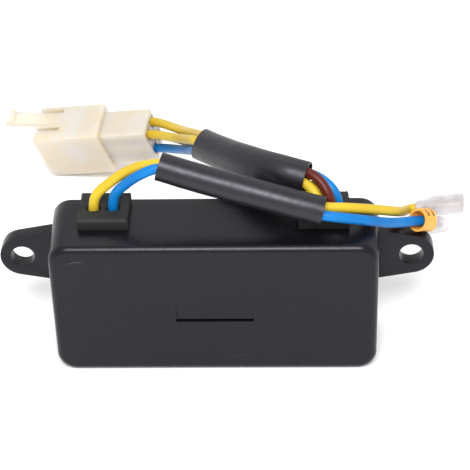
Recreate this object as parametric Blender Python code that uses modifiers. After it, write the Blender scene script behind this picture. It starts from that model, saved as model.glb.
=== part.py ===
# Automatic voltage regulator of a portable generator: a potted plastic case with two mounting ears,
# two rubber grommets, a pair of field leads with spade terminals and a four-way plug on four leads.
# Frame: origin at the middle of the case's underside, +X to the right, +Y to the open potted back, +Z up.
import math

import bmesh
import bpy
from mathutils import Euler, Matrix, Vector

MM = 0.001
gap = 0.3 * MM

# How far a cutter runs past the face that it opens
past = 1.0 * MM

# Case
case_length = 81.8 * MM
case_height = 38.8 * MM
case_depth = 20.7 * MM
case_draft = math.radians(1.7)
side_wall = 1.6 * MM
front_wall = 1.8 * MM
corner_radius = 5.0 * MM
front_fillet = 1.8 * MM
rib_width = 1.4 * MM
rib_reach = 1.6 * MM

# Mounting ears
ear_reach = 9.1 * MM
hole_pitch = case_length + 2 * ear_reach
hole_radius = 3.13 * MM
hole_height = 24.4 * MM
ear_thickness = 4.15 * MM
ear_end_radius = 5.8 * MM
ear_root_height = 15.4 * MM
ear_edge = 0.35 * MM

# Blank marking recess on the front face, flush at its top edge and deepest above its groove
recess_length = 19.6 * MM
recess_height = 5.2 * MM
recess_depth = 0.45 * MM
recess_middle = 18.8 * MM
groove_height = 0.55 * MM
groove_depth = 1.0 * MM

# Grommets
grommet_width = 12.6 * MM
grommet_depth = 13.0 * MM
grommet_flange = 2.0 * MM
grommet_front_rise = 0.35 * MM
grommet_lip = 1.2 * MM
grommet_offset = 27.5 * MM
notch_width = 10.4 * MM
notch_depth = 11.4 * MM
slit_width = 0.5 * MM
slit_depth = 1.1 * MM
lead_hole_radius = 1.7 * MM
lead_row_pitch = 3.1 * MM

# Circuit board and the resin behind it
board_thickness = 1.6 * MM
resin_thickness = 2.3 * MM
resin_below_rim = 1.0 * MM
board_height = 31.5 * MM

# Leads and sleeves
lead_diameter = 2.6 * MM
lead_point_step = 2.0 * lead_diameter
pair_offset = 1.42 * MM
four_offset = 2.12 * MM
lower_sleeve_diameter = 7.2 * MM
upper_sleeve_diameter = 8.6 * MM
sleeve_wall = 0.45 * MM
sleeve_step = 4.5 * MM
marker_diameter = 5.7 * MM
marker_wall = 0.55 * MM

# Spade terminals and their clear covers
cover_length = 12.8 * MM
cover_neck_length = 4.2 * MM
cover_neck_diameter = 4.1 * MM
cover_width = 6.0 * MM
cover_thickness = 3.7 * MM
cover_wall = 0.45 * MM
terminal_width = 3.5 * MM
terminal_sheet = 0.4 * MM
terminal_curl = 1.5 * MM
terminal_length = 5.4 * MM
barrel_length = 2.6 * MM
barrel_diameter = 2.2 * MM

# Four-way plug housing, in its own frame: X from the mouth to the rear, Y across, Z to the latch side
plug_corner = Vector((-52.3, 79.3, 0.05)) * MM
plug_turn = Euler((math.radians(19.1), math.radians(-12.1), math.radians(-13.6)), 'XYZ')
shroud_length = 20.6 * MM
shroud_width = 12.8 * MM
shroud_height = 16.7 * MM
plug_wall = 1.3 * MM
shroud_floor = 2.0 * MM
rear_length = 14.0 * MM
rear_width = 9.8 * MM
rear_height = 12.8 * MM
way_across = 4.7 * MM
way_up = 6.3 * MM
way_size = 3.4 * MM
latch_width = 4.4 * MM
latch_reach = 9.7 * MM
latch_thickness = 1.4 * MM
latch_barb = 1.7 * MM
latch_rise = math.radians(7.0)
slot_width = 1.2 * MM
slot_length = 7.7 * MM
pin_width = 2.8 * MM
pin_thickness = 0.8 * MM
pin_reach = 10.0 * MM
lead_in_plug = 5.0 * MM

# Derived places
front_y = -case_depth / 2
back_y = case_depth / 2
inside_front_y = front_y + front_wall
draft_slope = math.tan(case_draft)
resin_back_y = back_y - resin_below_rim
resin_front_y = resin_back_y - resin_thickness
board_back_y = resin_front_y - gap
board_face_y = board_back_y - board_thickness
board_bottom = side_wall + 2 * gap
lead_y = board_face_y - gap - lead_diameter / 2
front_row_y = lead_y - lead_row_pitch
part_face_y = board_face_y - gap


def half_length_at(y):
    return case_length / 2 + (y - front_y) * draft_slope


def top_at(y):
    return case_height + (y - front_y) * draft_slope


notch_front_y = back_y - notch_depth
flange_front_y = back_y - grommet_depth
grommet_top = top_at(back_y) + gap + grommet_flange


# Scene, collections and materials
for old in list(bpy.data.objects):
    bpy.data.objects.remove(old, do_unlink=True)

parts = bpy.data.collections.new('automatic_voltage_regulator')
cutters = bpy.data.collections.new('cutters')
bpy.context.scene.collection.children.link(parts)
bpy.context.scene.collection.children.link(cutters)


def finish(name, colour, roughness, metallic=0.0, alpha=1.0):
    material = bpy.data.materials.new(name)
    material.use_nodes = True
    shader = material.node_tree.nodes['Principled BSDF']
    shader.inputs['Base Color'].default_value = (*colour, 1.0)
    shader.inputs['Roughness'].default_value = roughness
    shader.inputs['Metallic'].default_value = metallic
    shader.inputs['Alpha'].default_value = alpha
    return material


case_plastic = finish('case_plastic', (0.032, 0.031, 0.035), 0.45)
resin = finish('resin', (0.02, 0.02, 0.02), 0.25)
grommet_rubber = finish('grommet_rubber', (0.018, 0.018, 0.019), 0.8)
board_laminate = finish('board_laminate', (0.05, 0.25, 0.09), 0.5)
can_sleeve = finish('can_sleeve', (0.03, 0.04, 0.12), 0.4)
film_box = finish('film_box', (0.55, 0.3, 0.05), 0.4)
chip_epoxy = finish('chip_epoxy', (0.02, 0.02, 0.02), 0.5)
resistor_ceramic = finish('resistor_ceramic', (0.75, 0.74, 0.7), 0.7)
trimmer_blue = finish('trimmer_blue', (0.05, 0.18, 0.5), 0.4)
lead_yellow = finish('lead_yellow', (0.86, 0.66, 0.03), 0.4)
lead_blue = finish('lead_blue', (0.02, 0.22, 0.78), 0.4)
lead_brown = finish('lead_brown', (0.13, 0.03, 0.022), 0.4)
sleeve_vinyl = finish('sleeve_vinyl', (0.022, 0.021, 0.023), 0.45)
marker_orange = finish('marker_orange', (0.95, 0.45, 0.08), 0.45)
clear_vinyl = finish('clear_vinyl', (0.85, 0.85, 0.83), 0.2, alpha=0.4)
terminal_brass = finish('terminal_brass', (0.75, 0.6, 0.3), 0.3, metallic=1.0)
plug_nylon = finish('plug_nylon', (0.85, 0.78, 0.68), 0.4)


# Makers
def place_mesh(mesh, name, group, material=None, matrix=None, smooth=40):
    made = bpy.data.objects.new(name, mesh)
    group.objects.link(made)
    if matrix is not None:
        made.matrix_world = matrix
    if material is not None:
        mesh.materials.clear()
        mesh.materials.append(material)
        mesh.shade_smooth()
        mesh.set_sharp_from_angle(angle=math.radians(smooth))
    if group is cutters:
        made.hide_render = True
        made.display_type = 'WIRE'
    return made


def place_bmesh(work, name, group, material=None, matrix=None, smooth=40):
    bmesh.ops.recalc_face_normals(work, faces=work.faces)
    mesh = bpy.data.meshes.new(name)
    work.to_mesh(mesh)
    work.free()
    return place_mesh(mesh, name, group, material, matrix, smooth)


def height_of(value, y):
    return value(y) if callable(value) else value


def box(name, x, y, z, group, material=None, matrix=None):
    # x and y are (low, high); z is (low, high), where each may also be a function of y
    work = bmesh.new()
    bmesh.ops.create_cube(work, size=1)
    for corner in work.verts:
        at_y = y[1] if corner.co.y > 0 else y[0]
        at_z = z[1] if corner.co.z > 0 else z[0]
        corner.co = (x[1] if corner.co.x > 0 else x[0], at_y, height_of(at_z, at_y))
    return place_bmesh(work, name, group, material, matrix)


def cylinder(name, radius, low, high, group, material=None, sides=20):
    # Round bar from one point to another
    low = Vector(low)
    high = Vector(high)
    axis = high - low
    work = bmesh.new()
    bmesh.ops.create_cone(work, cap_ends=True, segments=sides, radius1=radius, radius2=radius,
                          depth=axis.length)
    matrix = Matrix.Translation((low + high) / 2) @ axis.to_track_quat('Z', 'Y').to_matrix().to_4x4()
    work.transform(matrix)
    return place_bmesh(work, name, group, material)


def boolean(target, tool, operation='DIFFERENCE'):
    step = target.modifiers.new(tool.name, 'BOOLEAN')
    step.object = tool
    step.operation = operation
    step.solver = 'EXACT'


def soften(target, width, segments=2, angle=35):
    step = target.modifiers.new('soften', 'BEVEL')
    step.width = width
    step.segments = segments
    step.limit_method = 'ANGLE'
    step.angle_limit = math.radians(angle)


def case_block(name, y, inset, group, material=None, fillet=0.0):
    # Follows the case's drafted walls, a fixed distance inside them
    work = bmesh.new()
    bmesh.ops.create_cube(work, size=1)
    for corner in work.verts:
        at_y = y[1] if corner.co.y > 0 else y[0]
        half = half_length_at(at_y) - inset
        corner.co = (math.copysign(half, corner.co.x), at_y,
                     top_at(at_y) - inset if corner.co.z > 0 else inset)
    along = [edge for edge in work.edges if abs(edge.verts[0].co.y - edge.verts[1].co.y) > case_depth / 10]
    bmesh.ops.bevel(work, geom=along, offset=corner_radius - inset, segments=7, profile=0.5,
                    affect='EDGES', offset_type='OFFSET')
    if fillet > 0:
        rim = [edge for edge in work.edges
               if max(edge.verts[0].co.y, edge.verts[1].co.y) < y[0] + case_depth / 100]
        bmesh.ops.bevel(work, geom=rim, offset=fillet, segments=4, profile=0.5,
                        affect='EDGES', offset_type='OFFSET')
    return place_bmesh(work, name, group, material)


def plate(name, outlines, thickness, matrix, group, material=None):
    # Flat outlines drawn in the local XY plane, the first one outside and the others holes
    drawing = bpy.data.curves.new(name, 'CURVE')
    drawing.dimensions = '2D'
    drawing.fill_mode = 'BOTH'
    drawing.extrude = thickness / 2
    for outline in outlines:
        line = drawing.splines.new('POLY')
        line.points.add(len(outline) - 1)
        line.use_cyclic_u = True
        for point, spot in zip(line.points, outline):
            point.co = (spot[0], spot[1], 0.0, 1.0)
    drawn = bpy.data.objects.new(name + '_outline', drawing)
    cutters.objects.link(drawn)
    mesh = mesh_of_curve(drawn)
    return place_mesh(mesh, name, group, material, matrix)


def mesh_of_curve(drawn):
    bpy.context.view_layer.update()
    read = drawn.evaluated_get(bpy.context.evaluated_depsgraph_get())
    mesh = bpy.data.meshes.new_from_object(read)
    work = bmesh.new()
    work.from_mesh(mesh)
    bmesh.ops.remove_doubles(work, verts=work.verts, dist=0.001 * MM)
    bmesh.ops.recalc_face_normals(work, faces=work.faces)
    work.to_mesh(mesh)
    work.free()
    bpy.data.objects.remove(drawn, do_unlink=True)
    return mesh


def arc(centre, radius, start, end, count):
    spots = []
    for step in range(count + 1):
        angle = start + (end - start) * step / count
        spots.append((centre[0] + radius * math.cos(angle), centre[1] + radius * math.sin(angle)))
    return spots


# Smooth routes
def smooth(route, step):
    # Centripetal curve through the route's own points, read at even distances
    spots = [Vector(spot) for spot in route]
    ends = [spots[0] * 2 - spots[1]] + spots + [spots[-1] * 2 - spots[-2]]
    fine = [spots[0]]
    for before, first, last, after in zip(ends, ends[1:], ends[2:], ends[3:]):
        knots = [0.0]
        for one, two in ((before, first), (first, last), (last, after)):
            knots.append(knots[-1] + math.sqrt((two - one).length))
        for part in range(1, 13):
            at = knots[1] + (knots[2] - knots[1]) * part / 12
            low = before.lerp(first, (at - knots[0]) / (knots[1] - knots[0]))
            mid = first.lerp(last, (at - knots[1]) / (knots[2] - knots[1]))
            high = last.lerp(after, (at - knots[2]) / (knots[3] - knots[2]))
            low = low.lerp(mid, (at - knots[0]) / (knots[2] - knots[0]))
            high = mid.lerp(high, (at - knots[1]) / (knots[3] - knots[1]))
            fine.append(low.lerp(high, (at - knots[1]) / (knots[2] - knots[1])))
    reach = [0.0]
    for one, two in zip(fine, fine[1:]):
        reach.append(reach[-1] + (two - one).length)
    count = max(2, round(reach[-1] / step))
    even = [fine[0]]
    index = 0
    for number in range(1, count):
        wanted = reach[-1] * number / count
        while reach[index + 1] < wanted:
            index += 1
        part = (wanted - reach[index]) / (reach[index + 1] - reach[index])
        even.append(fine[index].lerp(fine[index + 1], part))
    even.append(fine[-1])
    return even


def tube(name, spots, diameter, material, group=parts, resolution=2, wall=0.0):
    # Solid bar with filled caps, or with a wall an open sleeve
    drawing = bpy.data.curves.new(name, 'CURVE')
    drawing.dimensions = '3D'
    drawing.bevel_depth = diameter / 2
    drawing.bevel_resolution = resolution
    drawing.use_fill_caps = wall == 0
    line = drawing.splines.new('POLY')
    line.points.add(len(spots) - 1)
    for point, spot in zip(line.points, spots):
        point.co = (*spot, 1.0)
    made = bpy.data.objects.new(name, drawing)
    group.objects.link(made)
    drawing.materials.append(material)
    if wall > 0:
        thicken = made.modifiers.new('wall', 'SOLIDIFY')
        thicken.thickness = wall
        thicken.offset = -1
        thicken.use_even_offset = True
    return made


viewer_side = Vector((0.0, -0.81, 0.59))


def beside(centre_line, offset, start_angle, twist=0.0):
    # Points that keep a distance from a sleeve's centre line; the angle runs from its upper side to its front
    spots = []
    for number, spot in enumerate(centre_line):
        ahead = centre_line[min(number + 1, len(centre_line) - 1)]
        behind = centre_line[max(number - 1, 0)]
        along = (ahead - behind).normalized()
        front = (viewer_side - along * viewer_side.dot(along)).normalized()
        upper = front.cross(along)
        angle = math.radians(start_angle + twist * number / (len(centre_line) - 1))
        spots.append(spot + (upper * math.cos(angle) + front * math.sin(angle)) * offset)
    return spots


def in_metres(route):
    return [Vector(spot) * MM for spot in route]


# Case shell with ears, recess, board ribs and grommet notches
def make_case():
    shell = case_block('case_shell', (front_y, back_y), 0.0, parts, case_plastic, fillet=front_fillet)
    cavity = case_block('case_cavity', (inside_front_y, back_y + 2 * MM), side_wall, cutters)
    boolean(shell, cavity)
    for side, label in ((-1, 'left'), (1, 'right')):
        boolean(shell, ear(side, label), 'UNION')
        notch_middle = side * grommet_offset
        notch = box(label + '_notch', (notch_middle - notch_width / 2, notch_middle + notch_width / 2),
                    (notch_front_y, back_y + 2 * MM), (case_height - corner_radius, case_height * 1.2), cutters)
        boolean(shell, notch)
        for rib_z in (case_height * 0.25, case_height * 0.75):
            wall_x = half_length_at(inside_front_y) - side_wall
            reach = sorted((side * (wall_x - rib_reach), side * (wall_x + side_wall / 2)))
            rib = box(label + '_rib', reach, (inside_front_y - front_wall / 2, part_face_y),
                      (rib_z - rib_width / 2, rib_z + rib_width / 2), cutters)
            boolean(shell, rib, 'UNION')
    cut_recess(shell)
    return shell


def ear(side, label):
    middle = Vector((side * hole_pitch / 2, back_y - ear_thickness / 2, hole_height))
    root = hole_pitch / 2 - half_length_at(middle.y) + side_wall * 0.6
    half = ear_root_height / 2
    tangent = math.atan2(half, -root) - math.acos(ear_end_radius / math.hypot(root, half))
    outline = [(-root, -half)]
    outline += arc((0, 0), ear_end_radius, -tangent, tangent, 22)
    outline.append((-root, half))
    hole = arc((0, 0), hole_radius, 0, 2 * math.pi, 32)[:-1]
    if side < 0:
        outline = [(-x, z) for x, z in reversed(outline)]
    upright = Matrix.Translation(middle) @ Matrix.Rotation(math.pi / 2, 4, 'X')
    made = plate(label + '_ear', [outline, hole], ear_thickness, upright, cutters)
    soften(made, ear_edge, segments=1, angle=50)
    return made


def cut_recess(shell):
    half = recess_length / 2
    top = recess_middle + recess_height / 2
    bottom = recess_middle - recess_height / 2
    work = bmesh.new()
    bmesh.ops.create_cube(work, size=1)
    for corner in work.verts:
        deep = recess_depth if corner.co.z < 0 else 0.0
        corner.co = (math.copysign(half, corner.co.x),
                     front_y + deep if corner.co.y > 0 else front_y - 1 * MM,
                     top if corner.co.z > 0 else bottom)
    boolean(shell, place_bmesh(work, 'recess', cutters))
    groove = box('recess_groove', (-half, half), (front_y - 1 * MM, front_y + groove_depth),
                 (bottom - groove_height / 2, bottom + groove_height / 2), cutters)
    boolean(shell, groove)


# Rubber grommets that slide into the notches from the open back
def make_grommet(side, label, lead_spots):
    middle = side * grommet_offset
    half = grommet_width / 2
    neck_half = notch_width / 2 - gap
    flange_low = lambda y: top_at(y) + gap
    lip_high = lambda y: top_at(y) - side_wall - gap
    lip_low = lambda y: lip_high(y) - grommet_lip
    made = box(label + '_grommet', (middle - half, middle + half), (flange_front_y, back_y),
               (flange_low, grommet_top), parts, grommet_rubber)
    slit_y = (lead_y - lead_diameter / 2 - slit_width, lead_y - lead_diameter / 2)
    front = box(label + '_grommet_front', (middle - half, middle + half), (flange_front_y, slit_y[0]),
                (flange_low, grommet_top + grommet_front_rise), cutters)
    boolean(made, front, 'UNION')
    neck = box(label + '_grommet_neck', (middle - neck_half, middle + neck_half),
               (notch_front_y + gap, back_y - gap), (lambda y: lip_low(y) + gap, grommet_top - gap), cutters)
    lip = box(label + '_grommet_lip', (middle - half + gap, middle + half - gap),
              (flange_front_y + gap, resin_back_y), (lip_low, lip_high), cutters)
    boolean(neck, lip, 'UNION')
    boolean(made, neck, 'UNION')
    slit = box(label + '_grommet_slit', (middle - half - past, middle + half + past), slit_y,
               (grommet_top - slit_depth, grommet_top + past), cutters)
    boolean(made, slit)
    for number, (x, y) in enumerate(lead_spots):
        hole = cylinder(f'{label}_lead_hole_{number}', lead_hole_radius,
                        (x, y, case_height - 3 * grommet_flange),
                        (x, y, grommet_top + grommet_front_rise + past), cutters, sides=16)
        boolean(made, hole)
    return made


# Potting resin over the back, with room for the grommets' inner lips
def make_resin():
    made = case_block('potting_resin', (resin_front_y, resin_back_y), side_wall + gap, parts, resin)
    for side, label in ((-1, 'left'), (1, 'right')):
        middle = side * grommet_offset
        room = box(label + '_lip_room', (middle - grommet_width / 2, middle + grommet_width / 2),
                   (resin_front_y - 1 * MM, resin_back_y + 1 * MM),
                   (top_at(resin_front_y) - side_wall - grommet_lip - 3 * gap, case_height * 1.2), cutters)
        boolean(made, room)
    return made


# Circuit board and the parts on its face
def make_board():
    half = half_length_at(board_face_y) - side_wall - gap
    made = box('circuit_board', (-half, half), (board_face_y, board_back_y),
               (board_bottom, board_bottom + board_height), parts, board_laminate)
    trim = corner_radius - side_wall
    along = made.modifiers.new('corners', 'BEVEL')
    along.width = trim
    along.segments = 3
    along.limit_method = 'WEIGHT'
    weights = made.data.attributes.new('bevel_weight_edge', 'FLOAT', 'EDGE')
    for edge in made.data.edges:
        ends = [made.data.vertices[index].co for index in edge.vertices]
        upright = abs(ends[0].y - ends[1].y) > board_thickness / 2
        weights.data[edge.index].value = 1.0 if upright else 0.0
    return made


def part_box(name, middle, size, material, edge=0.4):
    # Stands on the board's face; size is across, up and out from the board, in millimetres
    x, z = middle[0] * MM, middle[1] * MM
    made = box(name, (x - size[0] * MM / 2, x + size[0] * MM / 2), (part_face_y - size[2] * MM, part_face_y),
               (z - size[1] * MM / 2, z + size[1] * MM / 2), parts, material)
    soften(made, edge * MM, segments=1)
    return made


def turned(name, profile, matrix, material, steps=20):
    # Profile points are (radius, height), from the top down the outer side to the bottom
    mesh = bpy.data.meshes.new(name)
    work = bmesh.new()
    corners = [work.verts.new((radius * MM, 0, height * MM)) for radius, height in profile]
    for one, two in zip(corners, corners[1:]):
        work.edges.new((one, two))
    work.to_mesh(mesh)
    work.free()
    made = place_mesh(mesh, name, parts, material, matrix)
    spin = made.modifiers.new('turn', 'SCREW')
    spin.steps = steps
    spin.render_steps = steps
    spin.use_merge_vertices = True
    spin.merge_threshold = 0.00001
    spin.use_smooth_shade = True
    return made


def make_board_parts():
    outwards = Matrix.Rotation(math.pi / 2, 4, 'X')
    can = [(0, 12), (3.6, 12), (4.0, 11.6), (4.0, 11.0), (3.75, 10.6), (4.0, 10.2), (4.0, 0.3), (3.7, 0), (0, 0)]
    can_place = Matrix.Translation((-3 * MM, part_face_y, 20 * MM)) @ outwards
    turned('filter_capacitor', can, can_place, can_sleeve)
    part_box('film_capacitor', (-16, 12), (13, 6, 10.5), film_box, edge=0.8)
    part_box('bridge_rectifier', (14, 10), (14, 10, 5), chip_epoxy)
    part_box('power_resistor', (-2, 6.5), (16, 6, 6), resistor_ceramic)
    make_transistor()
    for name, x, z, radius, length in (('flyback_diode', 29, 9, 2.6, 9.0), ('zener_diode', 1, 28.5, 1.0, 4.0)):
        wire = length / 2 + 3
        body = [(0, wire), (0.4, wire), (0.4, length / 2), (radius, length / 2 - 0.01),
                (radius, -length / 2), (0.4, -length / 2 - 0.01), (0.4, -wire), (0, -wire)]
        lying = Matrix.Translation((x * MM, part_face_y - radius * MM, z * MM)) @ Matrix.Rotation(math.pi / 2, 4, 'Y')
        turned(name, body, lying, chip_epoxy, steps=14)
    trimmer = part_box('voltage_trimmer', (14, 23), (9.5, 9.5, 5), trimmer_blue)
    turn_slot = box('trimmer_slot', (10.9 * MM, 17.1 * MM), (part_face_y - 6 * MM, part_face_y - 4.3 * MM),
                    (22.6 * MM, 23.4 * MM), cutters)
    boolean(trimmer, turn_slot)


def make_transistor():
    # Moulded body and its metal tab as one piece, lying flat on the board
    body = part_box('power_transistor', (-28, 9.5), (9.2, 10, 4.5), chip_epoxy)
    tab_outline = [(-10.5, -5), (-2, -5), (-2, 5), (-10.5, 5)]
    tab_hole = arc((-7.6, 0), 1.8, 0, 2 * math.pi, 16)[:-1]
    upright = Matrix.Translation((-28 * MM, part_face_y - 0.75 * MM, 9.5 * MM)) @ Matrix.Rotation(math.pi / 2, 4, 'X')
    outlines = [[(x * MM * 0.72, z * MM) for x, z in shape] for shape in (tab_outline, tab_hole)]
    tab = plate('transistor_tab', outlines, 1.3 * MM, upright, cutters)
    boolean(body, tab, 'UNION')


# Lead routes, in millimetres, from the board to the terminals and the plug
lower_sleeve_route = [(-13.0, 2.6, 54.5), (-5.4, 1.2, 52.6), (2.5, -0.4, 50.9), (10.6, -1.8, 49.2),
                      (19.1, -3.2, 47.4), (27.2, -4.2, 45.5)]
upper_sleeve_route = [(-4.7, 35.0, 40.0), (1.6, 26.0, 42.8), (9.2, 16.0, 46.4), (16.6, 8.9, 48.5),
                      (23.4, 6.5, 47.9)]
left_lead_spots = [(-30.2 * MM, lead_y), (-25.3 * MM, lead_y)]
right_lead_spots = [(25.8 * MM, front_row_y), (27.6 * MM, lead_y), (31.3 * MM, lead_y), (29.5 * MM, front_row_y)]
board_lead_end = 25.0 * MM


def up_from_board(spot):
    x, y = spot
    return [Vector((x, y, board_lead_end)), Vector((x, y, board_lead_end + 8 * MM)),
            Vector((x, y, grommet_top - 2 * MM))]


def make_field_leads():
    centre_line = smooth(in_metres(lower_sleeve_route), 8 * MM)
    tube('lower_sleeve', smooth(in_metres(lower_sleeve_route), sleeve_step), lower_sleeve_diameter,
         sleeve_vinyl, resolution=6, wall=sleeve_wall)
    yellow_arc = [(-30.2, 3.6, 43.4), (-29.1, 3.8, 46.0), (-26.0, 4.4, 49.0), (-20.9, 4.6, 52.6)]
    yellow_fall = [(32.4, -2.0, 44.9), (38.3, 0.8, 42.5), (43.7, 5.0, 39.0), (46.9, 9.8, 35.3),
                   (48.1, 13.2, 33.0), (48.7, 15.6, 31.6), (49.6, 17.2, 30.7)]
    blue_arc = [(-25.3, 3.5, 43.4), (-24.4, 3.0, 46.6), (-21.3, 1.8, 50.6), (-17.1, 1.0, 53.7)]
    blue_fall = [(32.6, -5.1, 44.0), (38.2, -2.8, 41.6), (42.5, 0.4, 38.7), (46.0, 4.0, 36.0),
                 (49.1, 6.7, 34.5), (52.2, 8.9, 33.0), (54.5, 10.4, 31.7)]
    pair_twist = 20
    routes = (
        ('yellow_field_lead', lead_yellow, left_lead_spots[0], yellow_arc, 298, yellow_fall, yellow_cover),
        ('blue_field_lead', lead_blue, left_lead_spots[1], blue_arc, 118, blue_fall, blue_cover),
    )
    for name, material, spot, rise, angle, fall, cover in routes:
        start, axis = cover[0] * MM, cover[1].normalized()
        route = up_from_board(spot) + in_metres(rise) + beside(centre_line, pair_offset, angle, pair_twist)
        route += in_metres(fall) + [start, start + axis * (cover_neck_length - 0.5 * MM)]
        tube(name, smooth(route, lead_point_step), lead_diameter, material)


# Each cover: the middle of its lead end, the way it points and the way its flat side faces
yellow_cover = (Vector((51.1, 17.2, 31.0)), Vector((0.983, 0.0, 0.183)), Vector((0.0, 0.15, 0.99)))
blue_cover = (Vector((54.9, 11.5, 30.7)), Vector((0.22, 0.74, -0.64)), Vector((-0.14, 0.65, 0.75)))


def facing(place):
    start, along, face = place[0] * MM, place[1].normalized(), place[2]
    across = face.cross(along).normalized()
    face = along.cross(across)
    turn = Matrix((along, across, face)).transposed().to_4x4()
    return Matrix.Translation(start) @ turn


def make_cover(name, place):
    # Round neck that opens into a flat mouth, one wall thick
    stations = [(0.0, cover_neck_diameter, cover_neck_diameter, 2.0),
                (cover_neck_length * 0.8, cover_neck_diameter, cover_neck_diameter, 2.0),
                (cover_neck_length * 1.4, cover_width, cover_thickness, 3.5),
                (cover_length, cover_width, cover_thickness, 3.5)]
    sides = 24
    work = bmesh.new()
    rings = []
    for x, width, height, power in stations:
        ring = []
        for number in range(sides):
            angle = 2 * math.pi * number / sides
            across, up = math.cos(angle), math.sin(angle)
            ring.append(work.verts.new((x, math.copysign(abs(across) ** (2 / power), across) * width / 2,
                                        math.copysign(abs(up) ** (2 / power), up) * height / 2)))
        rings.append(ring)
    for low, high in zip(rings, rings[1:]):
        for number in range(sides):
            after = (number + 1) % sides
            work.faces.new((low[number], low[after], high[after], high[number]))
    bmesh.ops.recalc_face_normals(work, faces=work.faces)
    if work.faces[0].normal.dot(work.faces[0].calc_center_median() - Vector((stations[1][0] / 2, 0, 0))) < 0:
        bmesh.ops.reverse_faces(work, faces=work.faces)
    mesh = bpy.data.meshes.new(name)
    work.to_mesh(mesh)
    work.free()
    made = place_mesh(mesh, name, parts, clear_vinyl, facing(place))
    wall = made.modifiers.new('wall', 'SOLIDIFY')
    wall.thickness = cover_wall
    wall.offset = -1
    wall.use_even_offset = True
    return made


def make_terminal(name, place):
    # Crimped barrel and a receptacle whose edges roll over, from one strip
    base = cover_neck_length + gap
    half = terminal_width / 2
    sheet = terminal_sheet
    section = [(-half, -terminal_curl / 2), (half, -terminal_curl / 2), (half, terminal_curl / 2),
               (half * 0.35, terminal_curl / 2), (half * 0.35, terminal_curl / 2 - sheet),
               (half - sheet, terminal_curl / 2 - sheet), (half - sheet, -terminal_curl / 2 + sheet),
               (-half + sheet, -terminal_curl / 2 + sheet), (-half + sheet, terminal_curl / 2 - sheet),
               (-half * 0.35, terminal_curl / 2 - sheet), (-half * 0.35, terminal_curl / 2),
               (-half, terminal_curl / 2)]
    middle = base + barrel_length - sheet + terminal_length / 2
    lie = facing(place) @ Matrix.Translation((middle, 0, 0)) @ Matrix(((0, 0, 1, 0), (1, 0, 0, 0),
                                                                       (0, 1, 0, 0), (0, 0, 0, 1)))
    made = plate(name, [section], terminal_length, lie, parts, terminal_brass)
    axis = facing(place)
    barrel = cylinder(name + '_barrel', barrel_diameter / 2, axis @ Vector((base, 0, 0)),
                      axis @ Vector((base + barrel_length + sheet, 0, 0)), cutters, sides=14)
    boolean(made, barrel, 'UNION')
    return made


# Plug on the four leads from the right grommet
plug_place = Matrix.Translation(plug_corner) @ plug_turn.to_matrix().to_4x4()
plug_rear = shroud_length + rear_length
plug_axis_y = shroud_width / 2
plug_axis_z = shroud_height / 2
plug_ways = [(plug_axis_y + across * way_across / 2, plug_axis_z + up * way_up / 2)
             for across, up in ((1, 1), (-1, 1), (-1, -1), (1, -1))]


def make_plug():
    housing = box('connector_housing', (0, shroud_length), (0, shroud_width), (0, shroud_height),
                  parts, plug_nylon, plug_place)
    soften(housing, 0.4 * MM, segments=1)
    rear = box('plug_rear', (shroud_length - 1 * MM, plug_rear),
               (plug_axis_y - rear_width / 2, plug_axis_y + rear_width / 2),
               (plug_axis_z - rear_height / 2, plug_axis_z + rear_height / 2), cutters, matrix=plug_place)
    soften(rear, 0.4 * MM, segments=1)
    boolean(housing, rear, 'UNION')
    boolean(housing, make_latch(), 'UNION')
    cavity = box('plug_cavity', (-1 * MM, shroud_length - shroud_floor), (plug_wall, shroud_width - plug_wall),
                 (plug_wall, shroud_height - plug_wall), cutters, matrix=plug_place)
    boolean(housing, cavity)
    latch_far = shroud_width - plug_wall - slot_width
    for number, low in enumerate((latch_far, latch_far - latch_width - 2 * slot_width)):
        slot = box(f'plug_slot_{number}', (-1 * MM, slot_length), (low, low + slot_width),
                   (shroud_height - 2 * plug_wall, shroud_height + 1 * MM), cutters, matrix=plug_place)
        boolean(housing, slot)
    for number, (y, z) in enumerate(plug_ways):
        way = box(f'plug_way_{number}', (shroud_length / 2, plug_rear + 1 * MM), (y - way_size / 2, y + way_size / 2),
                  (z - way_size / 2, z + way_size / 2), cutters, matrix=plug_place)
        boolean(housing, way)
    return housing


def make_latch():
    # Arm that runs out past the mouth, with a barb at its tip, drawn from the side
    top = shroud_height - gap
    flat = [(slot_length, top - latch_thickness), (slot_length, top), (-latch_reach + latch_barb * 1.9, top),
            (-latch_reach + latch_barb * 1.5, top + latch_barb), (-latch_reach, top - latch_thickness * 0.6),
            (-latch_reach, top - latch_thickness)]
    side = [(x, z + (slot_length - x) * math.tan(latch_rise)) for x, z in flat]
    middle = shroud_width - plug_wall - slot_width - latch_width / 2
    lie = plug_place @ Matrix.Translation((0, middle, 0)) @ Matrix.Rotation(math.pi / 2, 4, 'X')
    return plate('plug_latch', [side], latch_width, lie, cutters)


def make_pins():
    crimp_start = plug_rear - lead_in_plug - gap
    tab_end = shroud_length - shroud_floor - pin_reach
    for number, (y, z) in enumerate(plug_ways):
        pin = box(f'connector_pin_{number + 1}', (tab_end, crimp_start - 3 * MM),
                  (y - pin_thickness / 2, y + pin_thickness / 2), (z - pin_width / 2, z + pin_width / 2),
                  parts, terminal_brass, plug_place)
        soften(pin, 0.2 * MM, segments=1)
        crimp = cylinder(f'pin_crimp_{number}', 1.25 * MM, plug_place @ Vector((crimp_start - 5 * MM, y, z)),
                         plug_place @ Vector((crimp_start, y, z)), cutters, sides=12)
        boolean(pin, crimp, 'UNION')


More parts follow.
